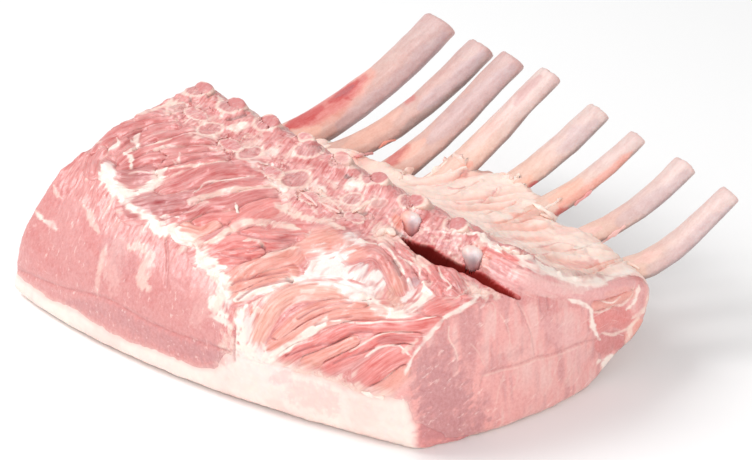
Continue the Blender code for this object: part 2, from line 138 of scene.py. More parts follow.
# Bundles of muscle, each running from the chine down towards the fat.
STRANDS = (
    # the far end, above the flat cut face
    ("rose", 4.5, 1, ((165, 95), (150, 104), (136, 106), (118, 118), (98, 137))),
    ("rose", 4.5, 1, ((167, 115), (153, 114), (139, 117))),
    ("red", 4.5, 1, ((172, 119), (147, 123), (129, 128), (108, 138), (96, 150))),
    ("rose", 3.5, 1, ((178, 125), (161, 126), (143, 132), (126, 139), (112, 150))),
    ("rose", 3.5, 1, ((192, 129), (174, 134), (156, 139), (141, 146))),
    ("red", 5, 1, ((208, 140), (192, 137), (174, 141), (153, 147), (133, 157), (122, 165))),
    ("rose", 3, 1, ((216, 146), (192, 149), (180, 151), (162, 152))),
    ("red", 5, 1, ((160, 156), (145, 159), (134, 164), (118, 170))),
    ("rose", 3, 1, ((231, 153), (205, 155), (185, 158), (166, 163))),
    ("red", 3, 1, ((227, 159), (203, 160), (187, 165), (172, 169), (158, 173))),
    ("deep", 7, 1, ((150, 174), (133, 176), (118, 174), (108, 168))),
    ("rose", 4, 1, ((103, 150), (95, 160), (92, 172))),
    ("red", 8, 1, ((258, 168), (240, 168), (222, 169), (200, 177), (180, 186), (166, 191))),
    ("red", 5.5, 1, ((279, 184), (247, 183), (222, 187), (206, 192), (195, 197))),
    ("deep", 9, 1, ((194, 197), (172, 201), (150, 204), (134, 207))),
    ("red", 6, 1, ((271, 192), (246, 196), (228, 204), (206, 206), (190, 215), (172, 220))),
    ("bright", 9, 1, ((270, 205), (258, 209), (244, 217), (236, 222))),
    ("bright", 7, 1, ((236, 217), (214, 220), (198, 224))),
    ("coral", 8, 1, ((216, 224), (202, 232), (186, 229))),
    ("rose", 7, 1, ((226, 232), (214, 238), (204, 243))),
    # the middle, below the flaky strip
    ("bright", 10, 1, ((300, 240), (275, 240), (253, 239), (228, 243), (208, 251))),
    ("bright", 7, 1, ((258, 252), (240, 255), (222, 257), (209, 261))),
    ("coral", 9, 1, ((342, 236), (318, 242), (299, 246), (289, 256), (266, 263), (250, 270), (236, 281))),
    ("coral", 6, 1, ((292, 272), (272, 275), (253, 282), (234, 289))),
    ("coral", 5, 1, ((286, 279), (266, 283), (250, 291), (236, 297))),
    # the near lobe
    ("peach", 7, 1, ((358, 297), (340, 292), (322, 290), (296, 293), (278, 303), (265, 321), (257, 337))),
    ("coral", 6, 1, ((362, 306), (336, 305), (317, 311), (299, 320), (280, 337))),
    ("coral", 6, 1, ((381, 311), (353, 313), (332, 317), (312, 325), (291, 337), (275, 346))),
    ("bright", 6, 1, ((436, 322), (415, 326), (376, 327), (355, 328), (338, 332), (318, 344), (297, 351),
                      (284, 360))),
    ("bright", 5.5, 1, ((416, 338), (386, 338), (365, 348), (346, 358), (330, 366))),
    ("coral", 5.5, 1, ((352, 342), (330, 352), (308, 361))),
    ("bright", 9, 1, ((404, 353), (388, 361), (370, 374))),
    ("coral", 6, 1, ((404, 372), (388, 386), (376, 392))),
    # the small muscles beside the slit
    ("coral", 6, 1, ((350, 254), (366, 249), (380, 252), (392, 267), (400, 284))),
    ("bright", 5, 1, ((383, 246), (396, 256), (407, 268), (412, 278))),
    ("bright", 5, 1, ((400, 250), (414, 262), (424, 274))),
    ("bright", 6, 1, ((418, 262), (432, 273), (442, 288))),
    ("bright", 7, 1, ((444, 268), (456, 280), (462, 292))),
    ("bright", 7, 1, ((438, 282), (450, 291), (462, 300))),
    ("bright", 8, 1, ((434, 308), (448, 303), (464, 299))),
    # the muscles beside the eye, at the near right
    ("pink", 8, 1, ((498, 262), (520, 274), (550, 286), (578, 291), (604, 291), (626, 286))),
    ("coral", 4, 1, ((597, 306), (608, 303), (620, 298), (630, 292))),
    ("bright", 8, 1, ((599, 322), (610, 316), (622, 318))),
    ("red", 7, 1, ((604, 345), (612, 340), (619, 342))),
    ("coral", 4, 1, ((625, 344), (633, 332), (640, 322))),
)

# Fat between the muscles, and over them.
FAT_SEAMS = (
    ("cream", 2, 0.9, ((119, 120), (136, 116), (147, 113), (164, 105))),
    ("cream", 4, 1, ((160, 107), (172, 104), (184, 102))),
    ("fat", 2.5, 0.9, ((131, 141), (138, 145), (133, 150), (124, 153))),
    ("fat", 3.5, 0.9, ((139, 134), (136, 141), (139, 147))),
    ("fat", 3, 0.95, ((124, 153), (131, 160), (131, 168))),
    ("cream", 1.1, 0.9, ((131, 150), (153, 145), (172, 140))),
    ("cream", 1, 0.8, ((218, 146), (192, 146), (167, 147), (154, 151))),
    ("cream", 1.1, 0.9, ((227, 162), (207, 164), (182, 168), (170, 170))),
    ("cream", 0.9, 0.8, ((128, 175), (140, 173), (150, 174))),
    ("fat", 2, 0.9, ((180, 154), (178, 165), (173, 161))),
    ("fat", 4.5, 1, ((167, 169), (158, 178), (149, 187), (138, 193))),
    ("fat", 4.5, 1, ((104, 168), (108, 177), (110, 187), (120, 193), (138, 194))),
    ("fat", 5, 1, ((117, 192), (126, 203), (140, 213), (152, 220), (157, 231), (168, 230), (182, 237),
                   (196, 244))),
    ("fat", 3.5, 1, ((196, 244), (200, 258), (208, 270), (230, 279))),
    ("fat", 8, 0.95, ((106, 176), (110, 184))),
    ("membrane", 5, 0.8, ((108, 168), (112, 176))),
    ("fat", 7, 0.9, ((120, 191), (128, 198))),
    ("fat", 6, 0.9, ((160, 176), (152, 184))),
    ("fat", 8, 0.95, ((156, 226), (170, 231))),
    ("cream", 6, 0.8, ((190, 238), (204, 246))),
    ("fat", 7, 0.95, ((204, 262), (214, 270))),
    ("membrane", 8, 0.9, ((221, 284), (222, 300))),
    ("membrane", 9, 0.85, ((246, 318), (244, 338))),
    ("membrane", 10, 0.8, ((262, 352), (246, 354))),
    ("fat", 2, 0.9, ((117, 138), (119, 145), (109, 151))),
    ("cream", 1.6, 0.8, ((92, 146), (103, 143))),
    ("fat", 1.3, 0.95, ((257, 176), (228, 180), (206, 183), (194, 194))),
    ("cream", 2.2, 0.9, ((277, 188), (234, 190), (212, 196), (190, 203), (208, 203))),
    ("fat", 1.8, 0.9, ((160, 217), (171, 216), (180, 219))),
    ("fat", 1.6, 0.95, ((236, 205), (238, 214))),
    ("cream", 3, 1, ((300, 229), (278, 224), (250, 223), (229, 231), (219, 239), (206, 245))),
    ("cream", 3, 0.9, ((286, 212), (306, 218), (330, 222), (344, 229))),
    ("cream", 5, 0.85, ((276, 206), (290, 208), (300, 214))),
    ("cream", 2.5, 0.9, ((244, 242), (254, 241), (263, 245))),
    ("cream", 2, 0.9, ((300, 249), (280, 252), (262, 258))),
    ("fat", 5, 1, ((204, 268), (212, 264), (224, 268))),
    ("fat", 7, 1, ((216, 276), (226, 281), (222, 292), (217, 306), (226, 316))),
    ("fat", 3.5, 1, ((236, 301), (250, 294), (270, 288), (290, 281), (306, 279))),
    ("fat", 4, 0.9, ((246, 306), (240, 318), (243, 333), (240, 348))),
    ("cream", 3, 0.8, ((256, 309), (262, 312))),
    ("fat", 2, 0.9, ((262, 342), (266, 352), (262, 362))),
    ("fat", 6, 1, ((236, 345), (248, 349), (252, 360), (262, 366))),
    ("fat", 3.6, 1, ((328, 320), (312, 331), (293, 344), (279, 353), (268, 363))),
    ("fat", 1.3, 0.95, ((436, 317), (403, 322), (357, 324), (348, 321), (328, 321))),
    ("fat", 1.2, 0.9, ((365, 357), (381, 347), (399, 346), (411, 356))),
    ("cream", 1.1, 0.8, ((415, 333), (392, 333), (372, 339), (350, 352))),
    ("membrane", 15, 1, ((326, 265), (341, 270))),
    ("membrane", 13, 1, ((346, 284), (340, 273), (322, 274), (304, 278))),
    ("membrane", 10, 1, ((354, 293), (366, 290), (374, 280))),
    ("membrane", 7, 0.9, ((342, 247), (352, 240), (362, 244))),
    ("fat", 5, 1, ((364, 297), (377, 307), (398, 314), (416, 308), (426, 296), (424, 284))),
    ("membrane", 6, 1, ((404, 300), (412, 292), (408, 282))),
    ("fat", 1.6, 0.95, ((358, 242), (376, 244), (390, 252), (399, 266), (404, 274))),
    ("fat", 1.1, 0.9, ((398, 258), (408, 263), (419, 269), (420, 279))),
    ("cream", 1, 0.8, ((417, 264), (427, 270), (432, 276))),
    ("fat", 1.3, 0.95, ((438, 267), (443, 278), (451, 286), (447, 292))),
    ("cream", 1.0, 0.7, ((452, 300), (460, 298), (468, 290))),
    ("cream", 4.5, 0.9, ((400, 236), (408, 243), (422, 262), (434, 263))),
    ("cream", 2, 0.95, ((434, 263), (458, 264), (470, 274), (500, 289))),
    ("cream", 5, 0.9, ((472, 286), (478, 292), (484, 294))),
    ("fat", 2, 0.9, ((405, 374), (410, 362), (420, 347), (433, 331), (446, 317), (462, 309), (480, 296))),
    ("cream", 4, 0.9, ((404, 352), (410, 346), (417, 341))),
    # round the eye, at the near right
    ("fat", 2.2, 0.95, ((568, 299), (582, 303), (591, 311), (592, 325), (599, 339))),
    ("fat", 5, 1, ((603, 364), (609, 360), (618, 355))),
    ("fat", 0.9, 0.9, ((600, 301), (611, 302), (619, 296))),
    ("cream", 1.1, 0.85, ((592, 313), (603, 311), (612, 306), (622, 305), (630, 297), (634, 286))),
    ("fat", 1.7, 0.85, ((626, 310), (635, 300), (639, 285))),
    ("cream", 1.4, 0.85, ((631, 319), (644, 309), (648, 296))),
    ("cream", 1.4, 0.85, ((628, 336), (631, 326), (639, 317), (646, 308))),
    ("cream", 1.2, 0.85, ((602, 333), (613, 334), (628, 328), (635, 321))),
    ("cream", 1, 0.7, ((621, 350), (626, 340), (628, 334))),
    ("fat", 3, 0.9, ((403, 400), (405, 420), (408, 440), (414, 449))),
    # the flat cut face of the far half
    ("fat", 2.4, 0.9, ((34, 209), (39, 215), (44, 221))),
    ("fat", 3.2, 0.75, ((45, 221), (51, 224), (56, 229))),
    ("cream", 2.2, 0.7, ((54, 186), (56, 193), (61, 198))),
    ("cream", 3, 0.7, ((84, 206), (89, 212), (92, 222), (99, 233))),
    ("cream", 2.6, 0.6, ((106, 246), (101, 262), (98, 283), (97, 296))),
    ("cream", 6, 0.75, ((130, 248), (141, 246), (148, 258), (144, 270), (141, 283), (149, 289))),
    ("cream", 3.5, 0.8, ((212, 273), (220, 285), (222, 297), (216, 313))),
    ("fat", 3.5, 0.9, ((211, 316), (221, 319), (233, 329))),
    ("fat", 2, 0.9, ((234, 318), (238, 327), (235, 349), (236, 362))),
    # the chine: pale gristle between the sawn bones
    ("cream", 3.5, 0.8, ((219, 96), (222, 108), (221, 117))),
    ("cream", 2, 0.85, ((327, 146), (338, 161), (357, 167), (383, 165), (395, 176), (409, 190),
                        (430, 194))),
    ("cream", 5, 0.85, ((227, 127), (238, 127), (247, 125))),
    ("fat", 3, 0.9, ((240, 126), (244, 125))),
    ("fat", 5, 0.8, ((262, 153), (274, 152))),
    ("fat", 4, 0.8, ((314, 184), (322, 190))),
    ("fat", 6, 0.85, ((350, 186), (362, 184))),
    ("cream", 6, 0.85, ((349, 213), (360, 207), (373, 200))),
    ("cream", 8, 0.8, ((378, 232), (392, 236))),
    ("fat", 3, 0.8, ((387, 216), (392, 224))),
    ("cream", 4, 0.7, ((205, 121), (214, 134), (228, 142), (243, 146))),
    ("fat", 6, 0.75, ((246, 160), (262, 167), (275, 178), (284, 190))),
    ("cream", 1.4, 0.8, ((294, 195), (309, 205), (318, 214))),
    ("cream", 1.4, 0.8, ((305, 190), (322, 203), (332, 212))),
    ("cream", 1.4, 0.8, ((318, 190), (334, 203), (343, 212))),
    ("fat", 1.6, 0.9, ((431, 231), (455, 234), (476, 234))),
    # the near edge of the flap, above the eye
    ("cream", 4, 0.9, ((536, 258), (556, 268), (578, 275), (602, 275))),
    ("fat", 3, 0.95, ((478, 234), (498, 247), (534, 262), (550, 271), (569, 280), (592, 282),
                      (639, 271))),
)

# Places where the muscles part, or a knife has been; the paint along them is painted shade, darkening each
# crease in its own tone.
CREASES = (
    ("deep", 1.2, 0.9, ((147, 130), (138, 133), (129, 138))),
    ("deep", 1.2, 0.8, ((156, 141), (143, 146), (134, 150))),
    ("deep", 1, 0.7, ((215, 145), (192, 145), (166, 147))),
    ("deep", 1.2, 0.8, ((231, 154), (205, 157), (192, 160), (178, 164))),
    ("dark", 1.1, 0.8, ((208, 96), (213, 93), (218, 89))),
    ("dark", 1.3, 0.8, ((190, 97), (190, 101))),
    ("dark", 1.3, 0.8, ((227, 119), (235, 117), (246, 114))),
    ("deep", 1.5, 0.7, ((192, 205), (180, 214), (162, 218))),
    ("deep", 1.6, 0.8, ((240, 233), (266, 240), (296, 241))),
    ("deep", 1.4, 0.7, ((250, 259), (236, 258), (221, 255))),
    ("deep", 1.2, 0.8, ((262, 246), (256, 250), (250, 252))),
    ("deep", 1.2, 0.8, ((288, 272), (262, 276), (240, 281), (232, 285))),
    ("deep", 1.2, 0.8, ((292, 280), (266, 285), (250, 292), (238, 300))),
    ("dark", 1.6, 0.5, ((287, 279), (291, 281))),
    ("deep", 1.1, 0.8, ((299, 319), (314, 310), (336, 305), (352, 303))),
    ("deep", 1, 0.6, ((352, 317), (332, 320), (316, 326))),
    ("deep", 1.3, 0.75, ((286, 356), (312, 347), (336, 342), (352, 333), (372, 332))),
    ("deep", 1.1, 0.7, ((334, 363), (353, 356), (374, 348))),
    ("dark", 2, 0.7, ((394, 262), (397, 268), (400, 275))),
    ("dark", 1.6, 0.6, ((338, 211), (346, 214))),
    ("dark", 2.4, 0.85, ((360, 214), (366, 212))),
    ("dark", 1.3, 0.7, ((262, 246), (265, 248))),
    ("deep", 1, 0.55, ((166, 240), (167, 262), (166, 286))),
    ("red", 1.2, 0.6, ((18, 270), (41, 280), (63, 288), (106, 299), (146, 321), (182, 336), (229, 352))),
    ("deep", 1.4, 0.6, ((234, 329), (234, 345), (234, 361))),
    # the long crease across the eye, and the short ones above and below it
    ("deep", 1.1, 0.4, ((481, 386), (485, 374), (498, 369), (519, 364), (536, 357), (552, 354),
                        (580, 343), (598, 339))),
    ("deep", 1, 0.3, ((518, 303), (525, 318), (532, 336), (535, 355))),
    ("deep", 1.2, 0.5, ((548, 298), (549, 308))),
    ("deep", 1, 0.4, ((540, 300), (541, 310))),
    ("dark", 2.2, 0.8, ((392, 228), (400, 233), (406, 237))),
)

# The knife cut behind the eye, painted near black with shade, and how its width swells along it.
SLIT = (
    ("slit", 6, 1, ((403, 238), (414, 246), (428, 253), (444, 261), (463, 269), (480, 277), (499, 288),
                    (519, 298))),
)
SLIT_SWELL = ((0, 0.12, 0.25, 0.45, 0.55, 0.7, 0.85, 1), (0.3, 0.85, 1.1, 0.75, 0.6, 0.8, 0.6, 0.25))

# Folds in the fat over the ribs, with painted shade in coral or rose along the groove of each.
FOLDS = (
    ("coral", 1.3, 0.8, ((483, 216), (497, 212), (508, 208), (517, 202))),
    ("coral", 1.5, 0.9, ((489, 224), (509, 221), (522, 215), (534, 210))),
    ("coral", 1.5, 0.8, ((517, 223), (533, 219), (547, 222))),
    ("coral", 1.3, 0.7, ((470, 226), (480, 233), (500, 232), (524, 230), (550, 227))),
    ("rose", 1.3, 0.7, ((506, 251), (533, 249), (558, 245), (575, 247))),
    ("rose", 1.2, 0.8, ((500, 246), (512, 254), (539, 255), (565, 252), (582, 250))),
    ("coral", 1.4, 0.8, ((560, 272), (582, 270), (598, 265), (619, 260))),
    ("coral", 1.3, 0.8, ((575, 277), (590, 275), (604, 269), (622, 264))),
    ("rose", 1.2, 0.7, ((455, 203), (470, 206), (486, 200), (497, 190))),
    ("coral", 1.3, 0.7, ((440, 196), (455, 195), (470, 188), (480, 182))),
    ("coral", 1.4, 0.8, ((420, 187), (436, 188), (450, 183), (462, 174))),
    ("rose", 1.2, 0.7, ((396, 172), (410, 176), (424, 172), (436, 168))),
    ("coral", 1.4, 0.8, ((350, 152), (368, 154), (386, 152), (402, 146))),
    ("rose", 1.2, 0.8, ((338, 146), (352, 146), (372, 144))),
)

# Sawn ends of bone: (x, y, half length, half height, share of the depth of colour).
OVALS = (
    (200, 88.5, 15, 6.5, 1),
    (233, 104.5, 15, 7, 1),
    (269, 122, 14, 7.5, 1),
    (309, 148.5, 15, 8, 1),
    (340, 161, 9, 6, 0.5),
    (375, 176, 13, 8, 1),
    (412, 200.5, 12, 7, 1),
    (456, 223.5, 12, 6.5, 1),
    (177, 108, 9, 4, 0.6),
    (210, 129, 12, 5.5, 1.3),
    (250, 153, 12, 5.5, 1.2),
    (295, 179, 15, 8, 1.1),
    (352, 199, 10, 5.5, 0.9),
    (379, 203, 8, 4, 0.5),
)
OVAL_TILT = math.radians(-10)

# Patches of open, spongy bone: (x, y, half length, half height).
SPONGES = (
    (189, 119, 20, 6),
    (231, 141, 21, 7.5),
    (275, 165, 18, 7.5),
    (424, 240, 20, 13),
    (448, 246, 18, 12),
)

# Fine pale lines in the cut face of the eye.
MARBLING = (
    ("cream", 0.8, 0.75, ((449, 325), (449, 338), (455, 349), (458, 360))),
    ("cream", 0.7, 0.5, ((491, 301), (495, 308), (496, 324))),
    ("cream", 0.7, 0.5, ((500, 314), (508, 328), (510, 343), (513, 347))),
    ("cream", 0.7, 0.45, ((517, 301), (526, 316), (534, 342))),
    ("cream", 0.7, 0.4, ((470, 343), (478, 352), (485, 366))),
    ("cream", 0.7, 0.35, ((536, 300), (538, 326))),
    ("cream", 0.9, 0.4, ((482, 377), (500, 371), (520, 367), (537, 360), (553, 357), (581, 346))),
    ("cream", 0.8, 0.3, ((505, 372), (499, 388), (496, 404))),
    ("cream", 0.8, 0.3, ((519, 369), (516, 384), (508, 398))),
    ("cream", 0.8, 0.3, ((560, 356), (552, 380), (540, 402))),
    ("cream", 0.8, 0.3, ((578, 348), (573, 370), (561, 390))),
)

# Stains, spots and soft changes of colour; the dark spot on the ridge and part of the mauve at the bottom of
# the near cut face are painted shade.
BLOTS = (
    ("mauve", 8, 0.6, ((72, 303), (106, 311), (146, 331), (182, 347), (230, 361))),
    ("red", 15, 0.5, ((34, 236), (44, 260), (60, 272))),
    ("red", 12, 0.4, ((48, 200), (40, 225))),
    ("red", 15, 0.5, ((82, 154), (64, 178), (54, 200))),
    ("red", 11, 0.5, ((80, 215), (92, 236), (96, 256))),
    ("red", 8, 0.6, ((122, 262), (130, 272))),
    ("red", 12, 0.4, ((150, 258), (158, 280), (150, 300))),
    ("mauve", 9, 0.5, ((200, 352), (222, 356))),
    ("blush", 12, 0.5, ((120, 240), (112, 268), (116, 292))),
    ("blush", 14, 0.4, ((200, 256), (206, 290), (196, 320))),
    ("blush", 12, 0.5, ((560, 320), (575, 350), (570, 380))),
    ("blush", 16, 0.35, ((520, 330), (540, 395), (530, 415))),
    # darker mauve at the lower left of the near cut face, partly painted shade towards its bottom
    ("mauve", 16, 0.8, ((432, 416), (452, 428))),
    ("mauve", 20, 0.8, ((436, 385), (466, 418))),
    ("mauve", 28, 0.65, ((436, 372), (446, 400), (440, 430))),
    ("mauve", 10, 0.45, ((440, 342), (428, 366))),
    ("mauve", 12, 0.3, ((468, 318), (474, 350))),
    ("mauve", 9, 0.35, ((520, 350), (500, 362), (484, 372))),
    ("pink", 14, 0.6, ((545, 325), (568, 338), (580, 360))),
    ("bright", 13, 0.85, ((430, 266), (446, 281), (460, 296))),
    ("red", 8, 0.6, ((432, 272), (446, 284), (458, 292))),
    ("bright", 8, 0.85, ((432, 303), (450, 306))),
    ("red", 9, 0.6, ((440, 270), (455, 287), (450, 301))),
    ("bright", 7, 0.7, ((404, 250), (420, 262), (432, 270))),
    ("red", 13, 0.6, ((176, 188), (230, 178), (262, 180))),
    ("red", 11, 0.6, ((180, 210), (226, 202), (256, 196))),
    ("membrane", 16, 0.5, ((246, 362), (272, 372))),
    ("pink", 12, 0.3, ((296, 392), (330, 402))),
    ("red", 9, 0.45, ((520, 300), (550, 299), (580, 304))),
    ("mauve", 10, 0.35, ((112, 248), (120, 262), (128, 268))),
    ("rose", 13, 0.4, ((182, 258), (192, 280), (196, 300))),
    ("deep", 8, 0.6, ((283, 244), (294, 243))),
    ("deep", 8, 0.5, ((384, 341), (414, 339))),
    ("deep", 5, 0.5, ((456, 283), (462, 288))),
    ("deep", 6, 0.5, ((160, 206), (146, 210))),
    ("coral", 9, 0.6, ((312, 243), (326, 241))),
    ("blood", 6, 1, ((316, 163), (330, 168), (344, 174), (356, 178))),
    ("blood", 4, 0.7, ((313, 162), (323, 165))),
    ("blood", 3.5, 0.6, ((378, 188), (384, 184))),
    # a dark spot of painted shade on the ridge
    ("dark", 2.4, 0.8, ((347, 177), (349, 178))),
    ("blood", 3, 0.6, ((329, 221), (336, 222))),
    ("rust", 3.2, 0.8, ((254, 310), (251, 317))),
    ("rust", 3.4, 0.8, ((269, 350), (271, 351))),
    ("rust", 2.4, 0.6, ((315, 364), (320, 366))),
    ("rust", 4.5, 0.7, ((395, 218), (398, 226))),
    ("membrane", 12, 0.6, ((280, 378),)),
    ("mauve", 6, 0.55, ((277, 379), (285, 377))),
    ("grey", 5, 0.6, ((361, 269), (364, 272))),
    ("grey", 4.5, 0.7, ((415, 283),)),
    ("mauve", 5, 0.7, ((349, 233), (356, 236))),
    ("peach", 9, 0.7, ((394, 292), (396, 302))),
    ("blush", 5, 0.9, ((364, 393), (380, 391))),
    ("bright", 7, 0.9, ((484, 250), (500, 255), (518, 262))),
    ("fat", 7, 0.75, ((522, 263), (548, 273), (580, 281), (604, 283))),
    ("blush", 10, 0.95, ((512, 274), (542, 286), (580, 291))),
    ("pink", 7, 0.6, ((480, 262), (500, 272), (530, 284), (560, 292))),
    ("coral", 7, 0.6, ((472, 254), (482, 260))),
    ("pink", 8, 0.7, ((606, 290), (624, 287), (640, 291))),
    ("coral", 7, 0.5, ((612, 294), (630, 292))),
    ("coral", 3.5, 0.5, ((588, 267), (612, 264))),
    ("coral", 3, 0.45, ((510, 214), (526, 216), (550, 210))),
    ("rose", 3, 0.4, ((486, 238), (506, 240), (523, 238))),
    ("rose", 3, 0.4, ((545, 263), (575, 264), (597, 262))),
    ("blood", 4, 0.5, ((458, 178), (470, 170))),
)

# Stains on each rib, by its number, and painted shade: the grey and shade strokes darken the side of each rib
# that lies away from the light, and rib 2 towards rib 3.
BONE_STAINS_AND_SHADE = {
    1: (
        ("coral", 14, 0.5, ((288, 128), (320, 110), (345, 94), (370, 74))),
        ("red", 9, 0.7, ((288, 128), (320, 110), (345, 94), (364, 78))),
        ("blood", 6, 0.9, ((284, 129), (304, 118), (322, 108))),
        ("blood", 5, 0.8, ((330, 102), (348, 90), (358, 81))),
        ("deep", 4, 0.9, ((336, 97), (346, 91), (353, 86))),
        ("blood", 2, 0.6, ((345, 98), (352, 100))),
        ("grey", 10, 0.4, ((340, 126), (380, 100), (420, 62), (444, 36))),
        ("peach", 9, 0.6, ((292, 138), (318, 130))),
    ),
    2: (
        ("peach", 8, 0.45, ((345, 148), (375, 130), (400, 110))),
        ("red", 4, 0.6, ((394, 107), (402, 102), (411, 97))),
        ("shade", 6, 0.6, ((402, 132), (430, 113), (456, 92), (470, 80))),
        ("grey", 7, 0.45, ((420, 108), (455, 80), (482, 54))),
        ("blush", 5, 0.5, ((400, 96), (440, 66))),
    ),
    3: (
        ("blood", 7, 0.7, ((384, 166), (398, 156), (408, 148))),
        ("grey", 10, 0.35, ((430, 140), (470, 104), (512, 68))),
        ("peach", 5, 0.5, ((400, 160), (424, 140))),
    ),
    4: (
        ("mauve", 4, 0.35, ((515, 104), (528, 88), (540, 76))),
        ("coral", 7, 0.6, ((440, 186), (456, 174), (470, 164))),
        ("blush", 5, 0.5, ((470, 150), (510, 110))),
    ),
    5: (
        ("blood", 3, 0.8, ((531, 186), (536, 184))),
        ("peach", 8, 0.7, ((500, 200), (530, 178))),
        ("grey", 9, 0.35, ((560, 150), (596, 122))),
    ),
    6: (
        ("coral", 4, 0.6, ((560, 206), (600, 180), (632, 152))),
        ("blood", 4, 0.6, ((555, 214), (567, 208))),
        ("peach", 7, 0.6, ((552, 200), (580, 182))),
    ),
    7: (
        ("blush", 6, 0.5, ((570, 238), (600, 228))),
        ("grey", 10, 0.35, ((620, 222), (660, 196), (686, 174))),
    ),
    8: (
        ("grey", 10, 0.35, ((650, 270), (690, 246), (728, 210))),
        ("blush", 5, 0.5, ((636, 262), (660, 252))),
    ),
}

# Loose slivers and scraps: (name, tone, width, thickness, points), widths in millimetres.
SLIVERS = (
    ("sliver_on_flap", "fat", 3.6, 2.0, ((532, 204), (540, 208), (549, 214), (558, 221))),
    ("sliver_by_rib_7", "fat", 2.2, 1.4, ((566, 248), (578, 249), (590, 246), (605, 242))),
    ("sliver_on_muscle", "fat", 2.0, 1.2, ((236, 204), (237, 210), (238, 216))),
    ("flake_by_rib_3", "cream", 5.0, 1.6, ((398, 182), (404, 174), (415, 168))),
    ("scrap_by_rib_2", "pink", 3.6, 1.8, ((352, 158), (366, 154), (380, 150), (392, 143))),
    ("scrap_on_rib_2", "coral", 2.4, 1.6, ((378, 148), (386, 142), (397, 139))),
    ("lump_by_slit", "cream", 6.0, 2.6, ((376, 236), (386, 231), (397, 235))),
    ("ridge_flake_1", "cream", 3.0, 1.4, ((352, 213), (360, 208), (372, 201))),
    ("ridge_flake_2", "blush", 2.8, 1.3, ((322, 204), (330, 208), (340, 213))),
    ("ridge_flake_3", "blush", 2.6, 1.2, ((300, 192), (310, 199), (318, 207))),
    ("collar_rib_4", "blush", 3.4, 1.5, ((436, 186), (446, 188), (458, 190), (466, 186))),
    ("collar_rib_5", "cream", 3.6, 1.6, ((488, 180), (496, 175), (506, 174), (514, 180))),
    ("membrane_rib_6", "pink", 3.0, 1.3, ((570, 210), (576, 203), (584, 197), (592, 190))),
    ("fringe_rib_7", "blush", 2.6, 1.3, ((601, 244), (608, 238), (617, 232), (626, 225))),
    ("edge_rib_6", "cream", 3.0, 1.4, ((540, 214), (550, 218), (560, 222), (566, 218))),
    ("edge_rib_8", "cream", 3.4, 1.6, ((606, 268), (618, 264), (630, 264), (640, 270))),
    ("flake_on_side", "fat", 3.0, 1.1, ((361, 391), (371, 395), (384, 398))),
)


# ---------------------------------------------------------------------------------------------------
# Settings.


class PorkRackFlesh(bpy.types.PropertyGroup):
    """Sizes and colours of the meat and its fat."""

    coarse: FloatProperty(
        name="Coarse grain", description="Size of the faces away from the detail",
        default=1.9 * MM, min=0.5 * MM, unit="LENGTH",
    )
    smoothing: IntProperty(
        name="Smoothing", description="How often the joined flesh is smoothed", default=12, min=0,
    )
    strand_height: FloatProperty(
        name="Strand height", description="How far a bundle of muscle stands out of its seams",
        default=1.7 * MM, unit="LENGTH",
    )
    slit_depth: FloatProperty(
        name="Slit depth", description="Depth of the knife cut behind the eye",
        default=7 * MM, unit="LENGTH",
    )
    thread_height: FloatProperty(
        name="Thread height", description="Height of the threads along each muscle",
        default=0.28 * MM, unit="LENGTH",
    )
    crease_depth: FloatProperty(
        name="Crease depth", description="Depth of the partings between muscles",
        default=1.3 * MM, unit="LENGTH",
    )
    lump_height: FloatProperty(
        name="Lump height", description="Height of the soft lumps all over",
        default=0.35 * MM, unit="LENGTH",
    )
    fold_height: FloatProperty(
        name="Fold height", description="Height of the folds in the fat over the ribs",
        default=2.3 * MM, unit="LENGTH",
    )
    fat_thickness: FloatProperty(
        name="Fat thickness", description="Thickness of the layers of fat", default=2.4 * MM, unit="LENGTH",
    )
    lean_colour: FloatVectorProperty(
        name="Lean", description="Colour of the muscle", subtype="COLOR", default=linear("DF807C"),
    )
    face_colour: FloatVectorProperty(
        name="Cut face", description="Colour of the muscle where it is cut across",
        subtype="COLOR", default=linear("F1A29C"),
    )
    side_colour: FloatVectorProperty(
        name="Sawn side", description="Colour of the flat side of the far half",
        subtype="COLOR", default=linear("D88280"),
    )
    fat_colour: FloatVectorProperty(
        name="Back fat", description="Colour of the back fat", subtype="COLOR", default=linear("FBE2D9"),
    )
    pleura_colour: FloatVectorProperty(
        name="Rib fat", description="Colour of the fat over the ribs", subtype="COLOR",
        default=linear("FCDDD0"),
    )


class PorkRackBone(bpy.types.PropertyGroup):
    """Sizes and colours of the bones."""

    grain: FloatProperty(
        name="Grain", description="Size of the faces of a bone",
        default=1.0 * MM, min=0.4 * MM, unit="LENGTH",
    )
    roughening: FloatProperty(
        name="Roughening", description="How uneven the scraped bone is", default=0.45 * MM, unit="LENGTH",
    )
    bone_colour: FloatVectorProperty(
        name="Bone", description="Colour of the scraped rib", subtype="COLOR", default=linear("E6D3CD"),
    )
    root_colour: FloatVectorProperty(
        name="Root", description="Colour of a rib where it leaves the meat", subtype="COLOR",
        default=linear("F0CBB4"),
    )
    marrow_colour: FloatVectorProperty(
        name="Marrow", description="Colour of sawn bone", subtype="COLOR", default=linear("D98F8F"),
    )
    gristle_colour: FloatVectorProperty(
        name="Gristle", description="Colour of joint cartilage", subtype="COLOR", default=linear("E2D2D4"),
    )


class PorkRackStage(bpy.types.PropertyGroup):
    """The floor and the studio light."""

    floor_size: FloatProperty(
        name="Floor size", description="Width of the floor", default=16.0, unit="LENGTH",
    )
    floor_colour: FloatVectorProperty(
        name="Floor", description="Colour of the floor", subtype="COLOR", default=(0.95, 0.95, 0.95),
    )
    sky_strength: FloatProperty(name="Sky", description="Strength of the light all round", default=0.62)
    key_power: FloatProperty(
        name="Key light", description="Power of the main light", default=23.0, unit="POWER",
    )
    fill_power: FloatProperty(
        name="Fill light", description="Power of the second light", default=12.5, unit="POWER",
    )


# ---------------------------------------------------------------------------------------------------
# Working with meshes.

